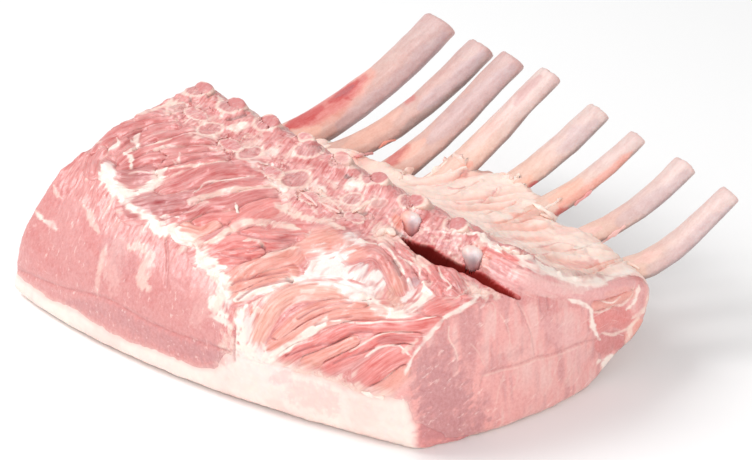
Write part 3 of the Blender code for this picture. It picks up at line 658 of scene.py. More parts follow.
MERGE_GAP = 0.01 * MM  # corners of the model nearer than this are one
SNAP_GAP = 0.001 * MM  # a vertex nearer to a cutting plane than this lies on it


def deselect_all():
    for thing in bpy.context.selected_objects:
        thing.select_set(False)


def make_active(thing):
    deselect_all()
    thing.select_set(True)
    bpy.context.view_layer.objects.active = thing


def apply_modifier(thing, kind, **values):
    """Adds one modifier, sets it and applies it."""
    make_active(thing)
    step = thing.modifiers.new(kind.title(), kind)
    for key, value in values.items():
        setattr(step, key, value)
    bpy.ops.object.modifier_apply(modifier=step.name)


def remesh(thing, size):
    """Gives a piece an even skin, with faces of one size."""
    apply_modifier(thing, "REMESH", mode="VOXEL", voxel_size=size)


def smooth(thing, times):
    apply_modifier(thing, "SMOOTH", factor=0.5, iterations=times)


def add_piece(name, mesh):
    piece = bpy.data.objects.new(name, mesh)
    bpy.context.scene.collection.objects.link(piece)
    return piece


def mesh_of(bm, name):
    """A new mesh from one that was being worked on."""
    mesh = bpy.data.meshes.new(name)
    bm.to_mesh(mesh)
    bm.free()
    return mesh


def opened(mesh):
    """A mesh, ready to be worked on."""
    bm = bmesh.new()
    bm.from_mesh(mesh)
    return bm


def merged_copy(node, name):
    """A copy of a node of the model, with its loose triangles merged."""
    bm = opened(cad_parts[node].data)
    bmesh.ops.remove_doubles(bm, verts=bm.verts, dist=MERGE_GAP)
    return add_piece(name, mesh_of(bm, name))


def cut_off(bm, place, outward):
    """Cuts away what lies beyond a plane, and closes the cut."""
    geometry = bm.verts[:] + bm.edges[:] + bm.faces[:]
    cut = bmesh.ops.bisect_plane(
        bm, geom=geometry, dist=SNAP_GAP, plane_co=place, plane_no=outward, clear_outer=True
    )
    edges = [part for part in cut["geom_cut"] if isinstance(part, bmesh.types.BMEdge)]
    bmesh.ops.holes_fill(bm, edges=edges, sides=0)


def keep_largest(piece):
    """Drops all but the largest connected part of a piece."""
    make_active(piece)
    bpy.ops.mesh.separate(type="LOOSE")
    parts = sorted(bpy.context.selected_objects, key=lambda part: len(part.data.vertices))
    if piece != parts[-1]:
        piece.data = parts[-1].data
    for part in parts:
        if part != piece:
            bpy.data.objects.remove(part)


def keep_faces(mesh, wanted):
    """A new mesh of the faces that have a corner among the wanted vertices."""
    bm = opened(mesh)
    bm.verts.ensure_lookup_table()
    lost = [face for face in bm.faces if not any(wanted[v.index] for v in face.verts)]
    bmesh.ops.delete(bm, geom=lost, context="FACES")
    return mesh_of(bm, mesh.name)


def refine(piece, wanted):
    """Subdivides the faces whose corners are all wanted, then smooths away the joins."""
    make_active(piece)
    mesh = piece.data
    for group in (mesh.vertices, mesh.edges, mesh.polygons):
        group.foreach_set("select", np.zeros(len(group), bool))
    corners = np.empty(len(mesh.loops), np.int32)
    mesh.loops.foreach_get("vertex_index", corners)
    starts = np.empty(len(mesh.polygons), np.int32)
    mesh.polygons.foreach_get("loop_start", starts)
    chosen = np.minimum.reduceat(wanted[corners].astype(int), starts).astype(bool)
    mesh.polygons.foreach_set("select", chosen)
    bpy.context.tool_settings.mesh_select_mode = (False, False, True)
    bpy.ops.object.mode_set(mode="EDIT")
    bpy.ops.mesh.subdivide(number_cuts=1, smoothness=0.0)
    bpy.ops.object.mode_set(mode="OBJECT")
    smooth(piece, 2)


def read(mesh, what="co"):
    """The places or the normals of a mesh's vertices, one row each."""
    values = np.empty(len(mesh.vertices) * 3, np.float32)
    mesh.vertices.foreach_get(what, values)
    return values.reshape(-1, 3).astype(float)


def skin(mesh):
    """The places and the normals of a mesh's vertices."""
    return read(mesh), read(mesh, "normal")


def write(mesh, places):
    mesh.vertices.foreach_set("co", places.astype(np.float32).ravel())
    mesh.update()


def write_within(mesh, places, off_edges=0.0):
    """Moves the vertices to new places, none of them outside the box of the model."""
    low, high = (np.array(corner) for corner in CAD_BOX)
    write(mesh, np.clip(places, low + off_edges, high))


def add_attribute(mesh, name, kind, values):
    found = mesh.attributes.new(name, kind, "POINT")
    key = {"FLOAT": "value", "FLOAT_VECTOR": "vector", "FLOAT_COLOR": "color"}[kind]
    found.data.foreach_set(key, values.astype(np.float32).ravel())


def add_paint(mesh, paint, darkest=0.02):
    """Stores the colour of each vertex where its material reads it."""
    colours = np.ones((len(paint), 4))
    colours[:, :3] = np.clip(paint, darkest, 0.98)
    add_attribute(mesh, "paint", "FLOAT_COLOR", colours)


def tree_of(*meshes):
    bm = bmesh.new()
    for mesh in meshes:
        bm.from_mesh(mesh)
    tree = BVHTree.FromBMesh(bm)
    bm.free()
    return tree


FAR_AWAY = 20 * MM  # distances are measured up to this


def distances(tree, places):
    """How far each place is from a surface."""
    found = [tree.find_nearest(place, FAR_AWAY)[3] for place in places]
    return np.array([FAR_AWAY if gap is None else gap for gap in found])


def near_box(places, box, margin):
    """The numbers of the places that lie in a box, or within a margin of it."""
    low, high = (np.array(corner) for corner in box)
    return np.flatnonzero((places > low - margin).all(1) & (places < high + margin).all(1))


def ease(low, high, value):
    """0 at low and 1 at high, smoothly between."""
    t = np.clip((value - low) / (high - low), 0, 1)
    return t * t * (3 - 2 * t)


def plain(colour, count):
    """One colour for every vertex."""
    return np.tile(np.array(colour), (count, 1))


def blend(one, other, share):
    """Mixes colours, row by row."""
    share = np.asarray(share)[..., None]
    return one + (np.asarray(other) - one) * share


def wash(paint, tone, share):
    """Mixes one of the tones into the paint, row by row."""
    return blend(paint, TONES[tone], share)


def washes(paint, *coats):
    """Mixes tones into the paint one after another, each as (tone, strength, low, high, pattern).

    A tone is missing where its pattern is at low, and has its full strength where the pattern is at high.
    """
    for tone, strength, low, high, pattern in coats:
        paint = wash(paint, tone, strength * ease(low, high, pattern))
    return paint


def touch(paint, which, tone, share):
    """Mixes one of the tones into some rows of the paint."""
    paint[which] = wash(paint[which], tone, share)


LATTICE_SIDE = 24
LATTICE = np.random.default_rng(11).random((LATTICE_SIDE,) * 3)


def lumps(places, size, salt):
    """Smooth noise between -1 and 1 with lumps of one size, which may differ along x, y and z.

    Each salt gives a pattern of its own.
    """
    q = places / size + 100.0 + 7.31 * salt
    low = np.floor(q).astype(int)
    t = q - low
    t = t * t * (3 - 2 * t)
    total = np.zeros(len(places))
    for corner in itertools.product((0, 1), repeat=3):
        weight = np.prod(np.where(np.array(corner, bool), t, 1 - t), axis=1)
        i = (low + corner) % LATTICE_SIDE
        total += weight * LATTICE[i[:, 0], i[:, 1], i[:, 2]]
    return 2 * total - 1


def lumps_on_lumps(places, size, finer, salt):
    """Lumps with finer ones upon them, at half their strength."""
    return lumps(places, size, salt) + 0.5 * lumps(places, finer, salt + 1)


# ---------------------------------------------------------------------------------------------------
# From the picture to the surface.


def eye_axes():
    """The eye's right, up and ahead directions."""
    right = Vector((math.cos(EYE_AZIMUTH), math.sin(EYE_AZIMUTH), 0))
    level = Vector((-math.sin(EYE_AZIMUTH), math.cos(EYE_AZIMUTH), 0))
    ahead = level * math.cos(EYE_ELEVATION) - Vector((0, 0, math.sin(EYE_ELEVATION)))
    return right, right.cross(ahead), ahead


RIGHT, UP, AHEAD = eye_axes()
REACH = LENS / SENSOR * PICTURE.x


def sight(x, y):
    """The direction in which the eye sees one pixel."""
    return (AHEAD * REACH + RIGHT * (x - PICTURE.x / 2) - UP * (y - PICTURE.y / 2)).normalized()


def to_picture(places):
    """Where the eye sees each place, in pixels."""
    offset = places - np.array(EYE)
    depth = offset @ np.array(AHEAD)
    x = PICTURE.x / 2 + REACH * (offset @ np.array(RIGHT)) / depth
    y = PICTURE.y / 2 - REACH * (offset @ np.array(UP)) / depth
    return np.stack([x, y], 1)


Line = namedtuple("Line", "tone half_width strength flat space along across")
SAME_SURFACE = 14 * MM  # a line marks nothing that lies further from it than this
STROKE_FADE = (1.4, 0.55)  # in half widths: where a stroke ends, and where it has its full strength
STROKE_REACH, STROKE_SPARE = 2.1, 1.5  # how far out it is looked for, in half widths and more pixels
THIN_STROKE = 4  # in pixels; the wisps fray a wider stroke more


def smooth_path(points):
    """The points of a smooth line through a few, about a pixel apart."""
    p = np.array(points, float)
    if len(p) == 1:
        return p
    ends = np.vstack([2 * p[0] - p[1], p, 2 * p[-1] - p[-2]])
    path = []
    for a, b, c, d in zip(ends, ends[1:], ends[2:], ends[3:]):
        for t in np.arange(0, 1, 1 / max(1, round(np.linalg.norm(c - b)))):
            path.append(0.5 * (2 * b + (c - a) * t + (2 * a - 5 * b + 4 * c - d) * t**2
                               + (3 * b - a - 3 * c + d) * t**3))
    return np.array(path + [p[-1]])


def draw(lines, tree):
    """Throws lines onto a surface, leaving out what misses it."""
    drawn = []
    for tone, half_width, strength, points in lines:
        flat, space = [], []
        for x, y in smooth_path(points):
            place = tree.ray_cast(EYE, sight(x, y))[0]
            if place is not None:
                flat.append((x, y))
                space.append(place)
        if not flat:
            continue
        flat, space = np.array(flat), np.array(space)
        steps = np.linalg.norm(np.diff(flat, axis=0), axis=1)
        along = np.concatenate([[0.0], np.cumsum(steps)])
        ahead = np.gradient(flat, axis=0) if len(flat) > 1 else np.array([[1.0, 0.0]])
        across = np.stack([-ahead[:, 1], ahead[:, 0]], 1)
        across /= np.maximum(np.linalg.norm(across, axis=1), 1e-6)[:, None]
        drawn.append(Line(tone, half_width, strength, flat, space, along, across))
    return drawn


class View:
    """How the eye sees a mesh's vertices."""

    EDGE_ON = 0.02  # a vertex that faces the eye less than this isn't seen
    OFF_SKIN, TOWARD_EYE = 0.5 * MM, 0.8 * MM  # where the look back at the eye starts from

    def __init__(self, places, normals, tree):
        self.space = places
        self.flat = to_picture(places)
        toward = np.array(EYE) - places
        toward /= np.linalg.norm(toward, axis=1)[:, None]
        self.seen = (normals * toward).sum(1) > self.EDGE_ON
        for k in np.flatnonzero(self.seen):
            start = Vector(places[k] + normals[k] * self.OFF_SKIN + toward[k] * self.TOWARD_EYE)
            if tree.ray_cast(start, Vector(toward[k]))[0] is not None:
                self.seen[k] = False

    def near(self, line, reach):
        """Vertices within reach pixels of a line: which, how far, how far along it and on which side."""
        low, high = line.flat.min(0) - reach, line.flat.max(0) + reach
        inside = self.seen & (self.flat >= low).all(1) & (self.flat <= high).all(1)
        which = np.flatnonzero(inside)
        gap = self.flat[which][:, None] - line.flat[None]
        square = (gap**2).sum(2)
        best = square.argmin(1)
        rows = np.arange(len(which))
        distance = np.sqrt(square[rows, best])
        close = np.linalg.norm(self.space[which] - line.space[best], axis=1) < SAME_SURFACE
        close &= distance < reach
        side = (gap[rows, best] * line.across[best]).sum(1)
        return which[close], distance[close], line.along[best][close], side[close]


def stroke_share(view, line, ragged, wisps=None):
    """Which vertices a line covers, and how much; its edge is uneven, and frayed along the fibres."""
    width = line.half_width
    which, distance, far, _ = view.near(line, STROKE_REACH * width + STROKE_SPARE)
    taper = np.ones(len(which))
    if line.along[-1] > 3 * width:
        end = np.minimum(far, line.along[-1] - far)
        taper = 0.45 + 0.55 * ease(0.0, 2.5 * width, end)
    share = distance / (width * taper) + ragged[which] / max(width, 2)
    if wisps is not None:
        share = share + (0.55 if width < THIN_STROKE else 0.75) * wisps[which]
    return which, line.strength * ease(*STROKE_FADE, share)


# ---------------------------------------------------------------------------------------------------
# The flesh.

GROWTH = 0.45 * MM  # each solid that lies against the lean is grown by this, so that they join
BESIDE_RIB = 9 * MM  # the fat this near to a rib's middle line lies beside it
PLUG_END = 3 * MM  # how far inside the edge of the fat the plug of a rib's socket ends


def grown(node, growth):
    piece = merged_copy(node, node + ".grown")
    places, normals = skin(piece.data)
    write(piece.data, places + normals * growth)
    return piece


def exit_of(node):
    """How far along y the fat over the ribs reaches beside one rib."""
    rib = read(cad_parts[node].data)
    slope, start = np.polyfit(rib[:, 1], rib[:, 0], 1)
    over = read(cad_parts["rib_fat"].data)
    beside = np.abs(over[:, 0] - (start + slope * over[:, 1])) < BESIDE_RIB
    return float(over[beside, 1].max())


def plug(node):
    """The buried part of a rib, which fills its socket."""
    piece = grown(node, GROWTH)
    bm = opened(piece.data)
    cut_off(bm, Vector((0, exit_of(node) - PLUG_END, 0)), (0, 1, 0))
    bm.to_mesh(piece.data)
    bm.free()
    return piece


class Form:
    """The flesh before it is parted into lean and fat, with what is needed to find places on it."""

    def __init__(self, settings):
        parts = [grown(node, 0.0 if node == "loin_meat" else GROWTH) for node in FLESH_NODES]
        parts += [plug(node) for node in RIBS]
        parts += [grown(node, GROWTH) for node in CHINES + CARTILAGES]
        deselect_all()
        for part in parts:
            part.select_set(True)
        bpy.context.view_layer.objects.active = parts[0]
        bpy.ops.object.join()
        body = bpy.context.view_layer.objects.active
        remesh(body, settings.coarse)
        keep_largest(body)
        smooth(body, settings.smoothing)
        self.mesh = body.data
        bpy.data.objects.remove(body)
        self.tree = tree_of(self.mesh)
        trees = {node: tree_of(thing.data) for node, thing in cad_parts.items()}
        self.nodes = {node: trees[node] for node in FLESH_NODES}
        self.bones = [(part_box(node), trees[node]) for node in RIBS + CHINES + CARTILAGES]
        self.bared = self.bones[-len(CARTILAGES) :]
        self.strands = draw(STRANDS, self.tree)
        self.seams = draw(FAT_SEAMS, self.tree)
        self.creases = draw(CREASES, self.tree)
        self.marbling = draw(MARBLING, self.tree)
        self.blots = draw(BLOTS, self.tree)
        self.slit = draw(SLIT, self.tree)
        self.folds = draw(FOLDS, self.tree)


@functools.cache
def flesh_form():
    """The one form that every piece of flesh is taken from."""
    return Form(bpy.context.scene.pork_rack_flesh)


def fat_depths(form, places):
    """How deep each place lies inside the back fat and the rib fat, less than 0 outside them."""
    lean = distances(form.nodes["loin_meat"], places)
    wander = 1.1 * MM * lumps(places, 7 * MM, 3) + 0.5 * MM * lumps(places, 2.5 * MM, 4)
    return [lean - distances(form.nodes[node], places) + wander for node in ("back_fat", "rib_fat")]


def bare_cartilage(form, places):
    """Draws back the flesh that would hide the bared cartilage from the eye."""
    margin, behind = 5 * MM, 0.2 * MM
    for box, tree in form.bared:
        for k in near_box(places, box, margin):
            offset = Vector(places[k]) - EYE
            reach = tree.ray_cast(EYE, offset)[3]
            if reach is not None and offset.length < reach + behind:
                places[k] = EYE + offset.normalized() * (reach + behind)
    return places


def hug_bones(form, places):
    """Draws the flesh that touches a bone under the bone's skin, and leads what lies above down to it."""
    margin, search = 3 * MM, 6 * MM
    buried, under, touching, clear = -2.5 * MM, -1.0 * MM, 0.3 * MM, 2.2 * MM
    for box, tree in form.bones:
        for k in near_box(places, box, margin):
            found, normal, _, gap = tree.find_nearest(Vector(places[k]), search)
            if found is None:
                continue
            outside = (Vector(places[k]) - found).dot(normal) > 0
            out = gap if outside else -gap
            if buried < out < clear:
                wanted = under + max(0.0, out - touching) * (clear - under) / (clear - touching)
                places[k] += np.array(normal) * (wanted - out)
    return bare_cartilage(form, places)


# Regions of the flesh: where each begins and is fully reached, by place or by the way the skin faces.
NEAR_END = (NEAR_CUT_X - 8 * MM, NEAR_CUT_X)
FAR_END = (FAR_CUT_X + 6 * MM, FAR_CUT_X)
FAR_HALF = (LOBE_X + 5 * MM, LOBE_X - 5 * MM)
NEAR_LOBE = (LOBE_X - 4 * MM, LOBE_X + 4 * MM)
SIDE_HEIGHT = (62 * MM, 50 * MM)
CHINE_SIDE, CHINE_RIDGE = (-56 * MM, -49 * MM), (4 * MM, -4 * MM)
FAT_CORNER = (412, 421)  # in pixels across the near corner, where the back fat gives way to the cut face

GRAIN_WAY = Vector((0.35, -0.85, -0.4)).normalized()  # the way that the muscles run
PIXEL = 0.45 * MM  # the width of a pixel at the rack
THREAD_LENGTH, THREAD_WIDTH = 11 * MM, 1.3 * MM  # of the threads in a bundle
LOOSE_LENGTH, LOOSE_WIDTH = 14 * MM, 1.5 * MM  # and of those between the bundles
NEXT_BUNDLE = 9.7  # the threads of each bundle are taken this much further on in the noise
FAR_OFF = 9.0  # in half widths, for a vertex that no bundle has reached

SEAM_HEIGHT = 0.22 * MM
PIT_DEPTH = 0.7 * MM  # of the sawn ridge
WRINKLE_SLANT = math.radians(10)
FOLD_STEP, FOLD_GROOVE = 1.2 * MM, 1.1 * MM
FOLD_REACH = 4.5  # in pixels
OVER_FLOOR = 0.02 * MM


class Looks:
    """Shape and paint of one piece of flesh, vertex by vertex."""

    def __init__(self, form, mesh, settings):
        self.form, self.mesh, self.settings = form, mesh, settings
        self.places, self.normals = skin(mesh)
        self.count = len(self.places)
        self.view = View(self.places, self.normals, form.tree)
        self.back, self.over = fat_depths(form, self.places)
        self.height = np.zeros(self.count)
        self.sunk = np.zeros(self.count)
        self.ragged = 0.9 * self.noise(2.2, 1) + 0.9 * self.noise(5, 2)
        self.weave()
        self.wisps = lumps(self.fibre, 1.1, 61) + 0.5 * lumps(self.fibre, 0.5, 63)
        self.slow = self.noise(6, 66)
        self.find_regions()

    def noise(self, size, salt):
        """Lumps all over the piece; their size is in millimetres."""
        return lumps(self.places, np.array(size) * MM, salt)

    def find_regions(self):
        x, y, z = self.places.T
        nx, ny, nz = self.normals.T
        self.near_face = ease(0.45, 0.8, nx) * ease(*NEAR_END, x)
        self.far_face = ease(0.45, 0.8, -nx) * ease(*FAR_END, x)
        self.side = ease(0.4, 0.8, -ny) * ease(*FAR_HALF, x) * (1 - self.far_face)
        self.side *= ease(*SIDE_HEIGHT, z)
        self.belly = ease(0.35, 0.7, ny) * ease(-0.8, -0.5, nz) * (1 - self.near_face)
        self.underside = ease(-0.4, -0.75, nz)
        self.cut = np.clip(self.near_face + self.far_face + 0.8 * self.side + 0.6 * self.belly, 0, 1)
        self.chine = ease(0.4, 0.75, nz) * ease(*CHINE_SIDE, y) * ease(*CHINE_RIDGE, y)

    def weave(self):
        """Finds the bundle of muscle that each vertex belongs to."""
        self.first, self.second = np.full(self.count, FAR_OFF), np.full(self.count, FAR_OFF)
        self.tone = np.zeros((self.count, 3))
        grain = np.array(GRAIN_WAY)
        along = self.places @ grain
        across = self.places - np.outer(along, grain)
        self.fibre = across / LOOSE_WIDTH + np.outer(along, grain) / LOOSE_LENGTH
        for number, line in enumerate(self.form.strands):
            which, distance, far, side = self.view.near(line, 2.1 * line.half_width)
            share = (distance + 0.35 * self.ragged[which]) / line.half_width
            better = share < self.first[which]
            self.second[which] = np.where(better, self.first[which], np.minimum(self.second[which], share))
            won = which[better]
            self.first[won] = share[better]
            self.tone[won] = TONES[line.tone]
            lengthways, sideways = far[better] * PIXEL / THREAD_LENGTH, side[better] * PIXEL / THREAD_WIDTH
            self.fibre[won] = np.stack([lengthways, sideways, np.full(len(won), NEXT_BUNDLE * number)], 1)
        self.covered = ease(1.7, 1.15, self.first)
        self.parting = ease(0.32, 0.0, self.second - self.first) * ease(0.45, 0.75, self.first) * self.covered

    def shape(self):
        """Adds up the relief."""
        s = self.settings
        rough = 1 - 0.75 * self.cut
        pillow = 1 - np.clip(self.first, 0, 1.3) ** 2 / 1.69
        self.height += s.strand_height * self.covered * (0.75 * pillow - 0.45 * self.parting - 0.15)
        self.height += s.lump_height * rough * self.noise(6, 5)
        self.height += 0.45 * s.lump_height * rough * self.noise(2.4, 6)
        self.height += s.thread_height * rough * lumps(self.fibre, 0.8, 62)
        for line in self.form.seams:
            which, share = stroke_share(self.view, line, self.ragged, self.wisps)
            self.height[which] += SEAM_HEIGHT * share * min(1.0, line.half_width / 2)
        for line in self.form.slit:
            which, share, _, _ = self.slit_share(line)
            self.sunk[which] = s.slit_depth * ease(1.1, 0.3, share)
            self.height[which] *= ease(0.7, 1.3, share)
        for line in self.form.creases:
            which, distance, _, _ = self.view.near(line, 2.4 * line.half_width)
            self.height[which] -= s.crease_depth * line.strength * ease(2.2, 0.2, distance / line.half_width)
        if self.over.max() > 0:
            self.fold()
        self.height += self.chine * PIT_DEPTH * (np.abs(self.noise(3.4, 8)) - 0.35)

    def slit_share(self, line):
        """How near each vertex is to the middle of the knife cut, 1 being its edge; its side and place."""
        which, distance, far, side = self.view.near(line, 2 * line.half_width)
        t = far / line.along[-1]
        width = line.half_width * np.interp(t, *SLIT_SWELL) * (1 + 0.12 * self.slow[which])
        return which, distance / width, side / width, t

    def fold(self):
        """The fat over the ribs wrinkles along them, most of all towards its edge."""
        sine, cosine = math.sin(WRINKLE_SLANT), math.cos(WRINKLE_SLANT)
        x, y, z = self.places.T
        flat = np.stack([x * cosine - y * sine, (x * sine + y * cosine) * 0.16, z * 0.4], 1)
        wrinkle = 1 - 2 * np.abs(lumps(flat, 7 * MM, 9)) - 0.6 * np.abs(lumps(flat, 3 * MM, 10))
        self.wrinkle = wrinkle * ease(-1.5 * MM, 1 * MM, self.over)
        outer = 0.45 + 0.55 * ease(10 * MM, 50 * MM, y)
        self.height += 0.5 * self.settings.fold_height * self.wrinkle * outer
        for line in self.form.folds:
            which, distance, _, side = self.view.near(line, FOLD_REACH)
            self.height[which] += FOLD_STEP * ease(FOLD_REACH, 1.2, distance) * np.where(side > 0, 1, -0.3)
            self.height[which] -= FOLD_GROOVE * ease(1.8, 0.3, distance)

    def move(self, extra):
        """Moves the vertices by the relief and a further offset, onto the bones and off the floor."""
        moved = self.places + self.normals * (self.height + extra)[:, None]
        if self.sunk.any():
            inward = -self.normals[self.sunk > 0].mean(axis=0)
            moved += self.sunk[:, None] * inward / np.linalg.norm(inward)
        write_within(self.mesh, hug_bones(self.form, moved), OVER_FLOOR)

    def paint_muscle(self):
        """Lean, with its bundles, cut faces and loose fat."""
        s = self.settings
        slow, quick = self.noise(17, 12), self.noise(5, 13)
        fans = self.noise((20, 4, 17), 67) + 0.5 * self.noise((10, 1.8, 9), 68)
        streaks = lumps(self.fibre, 2.0, 14)
        seams = np.abs(self.noise((70, 46, 30), 15) + 0.1 * quick)
        bands = self.noise((80, 34, 10), 65) + 0.2 * slow
        loose = (1 - self.covered) * (1 - self.cut)
        paint = washes(
            plain(s.lean_colour, self.count),
            ("red", 0.3, 0.0, 0.8, slow + 0.4 * quick),
            ("blush", 0.35, 0.1, 0.9, -slow + 0.3 * quick),
            ("cream", 0.75 * loose, 0.25, 0.6, streaks + 0.25 * quick),
        )
        face = washes(
            plain(s.face_colour, self.count),
            ("blush", 0.7, 0.0, 0.8, fans),
            ("mauve", 0.5, 0.0, 0.8, -fans),
        )
        paint = blend(paint, face, self.near_face)
        paint = blend(paint, face, 0.9 * self.far_face)
        paint = washes(paint, ("rose", 0.45 * self.far_face, -0.4, 0.5, slow))
        paint = blend(paint, s.side_colour, self.side)
        paint = washes(
            paint,
            ("red", 0.3 * self.side, 0.2, 0.9, fans),
            ("blush", 0.6 * self.far_face, 0.07, 0.0, seams),
            ("cream", 0.65 * self.belly, -0.1, 0.6, bands),
        )
        paint = wash(paint, "cream", 0.8 * self.underside)
        paint = blend(paint, self.tone, 0.9 * self.covered * (1 - 0.25 * np.clip(self.first, 0, 1)))
        # along the partings between bundles: pale seam fat in places, painted shade in deep red in others
        return washes(
            paint,
            ("cream", 0.8 * self.parting, -0.3, 0.5, quick),
            ("deep", 0.75 * self.parting, 0.2, -0.5, quick),
        )

    def paint_chine(self, paint):
        """Gristle, fat and crumbs of bone between the sawn bones."""
        one, other = self.noise(5.5, 16), self.noise(2.2, 17)
        crumbs = washes(
            wash(plain(TONES["pink"], self.count), "rose", 0.65),
            ("cream", 0.85, 0.1, 0.6, one),
            ("red", 0.9, 0.1, 0.5, other - 0.3 * one),
            ("deep", 0.8, 0.4, 0.7, -other),
        )
        return blend(paint, crumbs, 0.8 * self.chine)

    def paint_lean(self):
        lobe = ease(*NEAR_LOBE, self.places[:, 0]) * (1 - self.near_face)
        return washes(
            self.paint_chine(self.paint_muscle()),
            ("blush", 0.5, -2.5 * MM, 0.0, self.back),
            ("cream", 0.85 * lobe, -6 * MM, -1 * MM, self.back + 1.6 * MM * self.wisps),
        )

    def paint_fat(self, colour, amount):
        slow, quick = self.noise(14, 18), self.noise(3.5, 19)
        return washes(
            plain(colour, self.count),
            ("blush", amount, 0.1, 0.8, slow + 0.4 * quick),
            ("fat", 0.5, 0.2, 0.8, -slow - 0.3 * quick),
        )

    def paint_back_fat(self, corner):
        paint = self.paint_fat(self.settings.fat_colour, 0.3)
        paint = washes(paint, ("blush", 0.6, 2.5 * MM, 0.0, self.back))
        return blend(paint, self.settings.face_colour, corner)

    def paint_rib_fat(self):
        return washes(
            self.paint_fat(self.settings.pleura_colour, 0.25),
            # coral in the troughs of the wrinkles is painted shade; the crests take paler fat
            ("coral", 0.46, 0.1, -0.9, self.wrinkle),
            ("fat", 0.35, 0.1, 0.6, self.wrinkle),
            ("rose", 0.22, 0.35, 0.75, self.noise(9, 20)),
            ("blush", 0.5, 2.0 * MM, 0.0, self.over),
        )

    def paint_lines(self, paint, layer, corner):
        """Blots, seams, marbling and folds, with gaps here and there."""
        patchy = 1 - 0.4 * ease(0.1, 0.7, self.noise(4, 64))
        for line in self.form.blots + self.form.seams + ([] if layer else self.form.marbling):
            wisps = self.wisps if line.half_width >= 1 else None
            ragged = self.ragged * min(1.0, 0.3 * line.half_width)
            which, share = stroke_share(self.view, line, ragged, wisps)
            if layer == "back_fat" and line.tone in ("fat", "cream", "mauve"):
                share = share * (0.4 + 0.6 * corner[which])
            touch(paint, which, line.tone, share * patchy[which])
        # the folds: painted shade along each groove
        for line in (self.form.folds if layer == "rib_fat" else ()):
            which, share = stroke_share(self.view, line, 0.3 * self.ragged)
            touch(paint, which, line.tone, share * patchy[which])

    def paint_creases(self, paint):
        # painted shade darkens each crease in its own tone
        for line in self.form.creases:
            which, distance, _, _ = self.view.near(line, 1.8 * line.half_width)
            share = line.strength * ease(1.5, 0.3, distance / line.half_width)
            touch(paint, which, line.tone, 0.8 * share)

    def paint_slit(self, paint):
        """Darkens the knife cut with painted shade, near black deep in it and red-brown up one wall, and
        returns how far each vertex may shine.
        """
        sheen = np.ones(self.count)
        for line in self.form.slit:
            which, share, side, t = self.slit_share(line)
            # painted shade: the slit tone deep in the cut, gash red-brown up one wall
            wall = plain(TONES[line.tone], len(which))
            wall = wash(wall, "gash", ease(0.1, -0.8, side) * (0.4 + 0.6 * ease(0.3, 0.7, t)))
            touch(paint, which, "blood", 0.5 * ease(1.6, 1.1, share))
            paint[which] = blend(paint[which], wall, ease(1.15, 0.9, share))
            sheen[which] = np.minimum(sheen[which], ease(1.0, 1.4, share))
        return sheen

    def paint(self, layer):
        """Colours the vertices; layer is the fat that is painted, or nothing for lean."""
        corner = np.zeros(self.count)  # where the back fat's end shows the cut face
        if layer == "back_fat":
            corner = ease(*FAT_CORNER, self.view.flat[:, 0] + 2 * self.slow) * self.near_face
            paint = self.paint_back_fat(corner)
        elif layer == "rib_fat":
            paint = self.paint_rib_fat()
        else:
            paint = self.paint_lean()
        self.paint_lines(paint, layer, corner)
        if not layer:
            paint_sponges(paint, self.view, self.form)
        paint_ovals(paint, self.view, self.form)
        self.paint_creases(paint)
        sheen = self.paint_slit(paint)
        lean = np.clip(1 - ease(0.55, 0.8, paint[:, 1]), 0, 1)
        add_paint(self.mesh, paint, darkest=0.004)
        add_attribute(self.mesh, "fibre", "FLOAT_VECTOR", self.fibre)
        add_attribute(self.mesh, "lean", "FLOAT", lean * (0.3 + 0.7 * corner) if layer else lean)
        add_attribute(self.mesh, "cut", "FLOAT", self.cut)
        add_attribute(self.mesh, "sheen", "FLOAT", sheen)


def oval_reach(view, tree, oval, ragged):
    """Which vertices lie in or about an oval, and how far out they lie: 1 is its edge."""
    x, y, half_length, half_height = oval[:4]
    line = draw([("cream", half_length, 1, ((x, y),))], tree)
    if not line:
        return np.zeros(0, int), np.zeros(0)
    which = view.near(line[0], 1.7 * half_length)[0]
    offset = view.flat[which] - (x, y)
    along = offset[:, 0] * math.cos(OVAL_TILT) + offset[:, 1] * math.sin(OVAL_TILT)
    across = offset[:, 1] * math.cos(OVAL_TILT) - offset[:, 0] * math.sin(OVAL_TILT)
    return which, np.hypot(along / half_length, across / half_height) + 0.14 * ragged[which]


def paint_sponges(paint, view, form):
    """Open, spongy bone: dark pores and cream crumbs."""
    coarse, fine = lumps(view.space, 2.2 * MM, 70), lumps(view.space, 1.1 * MM, 71)
    for oval in SPONGES:
        which, reach = oval_reach(view, form.tree, oval, coarse)
        crumbs = washes(
            plain(TONES["rose"], len(which)),
            ("cream", 0.75, 0.0, 0.5, fine[which]),
            ("deep", 0.7, 0.15, 0.5, -fine[which] - 0.3 * coarse[which]),
        )
        paint[which] = blend(paint[which], crumbs, 0.85 * ease(1.25, 0.8, reach))


def paint_ovals(paint, view, form):
    """The sawn ends of the bones: dull red marrow in a pale rim."""
    fine, slow = lumps(view.space, 0.9 * MM, 72), lumps(view.space, 4 * MM, 73)
    for oval in OVALS:
        which, reach = oval_reach(view, form.tree, oval, slow)
        depth = oval[4]
        marrow = plain(TONES["mauve"], len(which))
        marrow = wash(marrow, "red", np.clip(0.35 * depth + 0.3 * fine[which], 0, 1))
        marrow = washes(marrow, ("cream", 0.35, 0.3, 0.8, -fine[which]))
        touch(paint, which, "cream", 0.85 * min(1, depth) * ease(1.35, 1.15, reach))
        paint[which] = blend(paint[which], marrow, 0.9 * min(1, depth) * ease(1.05, 0.85, reach))


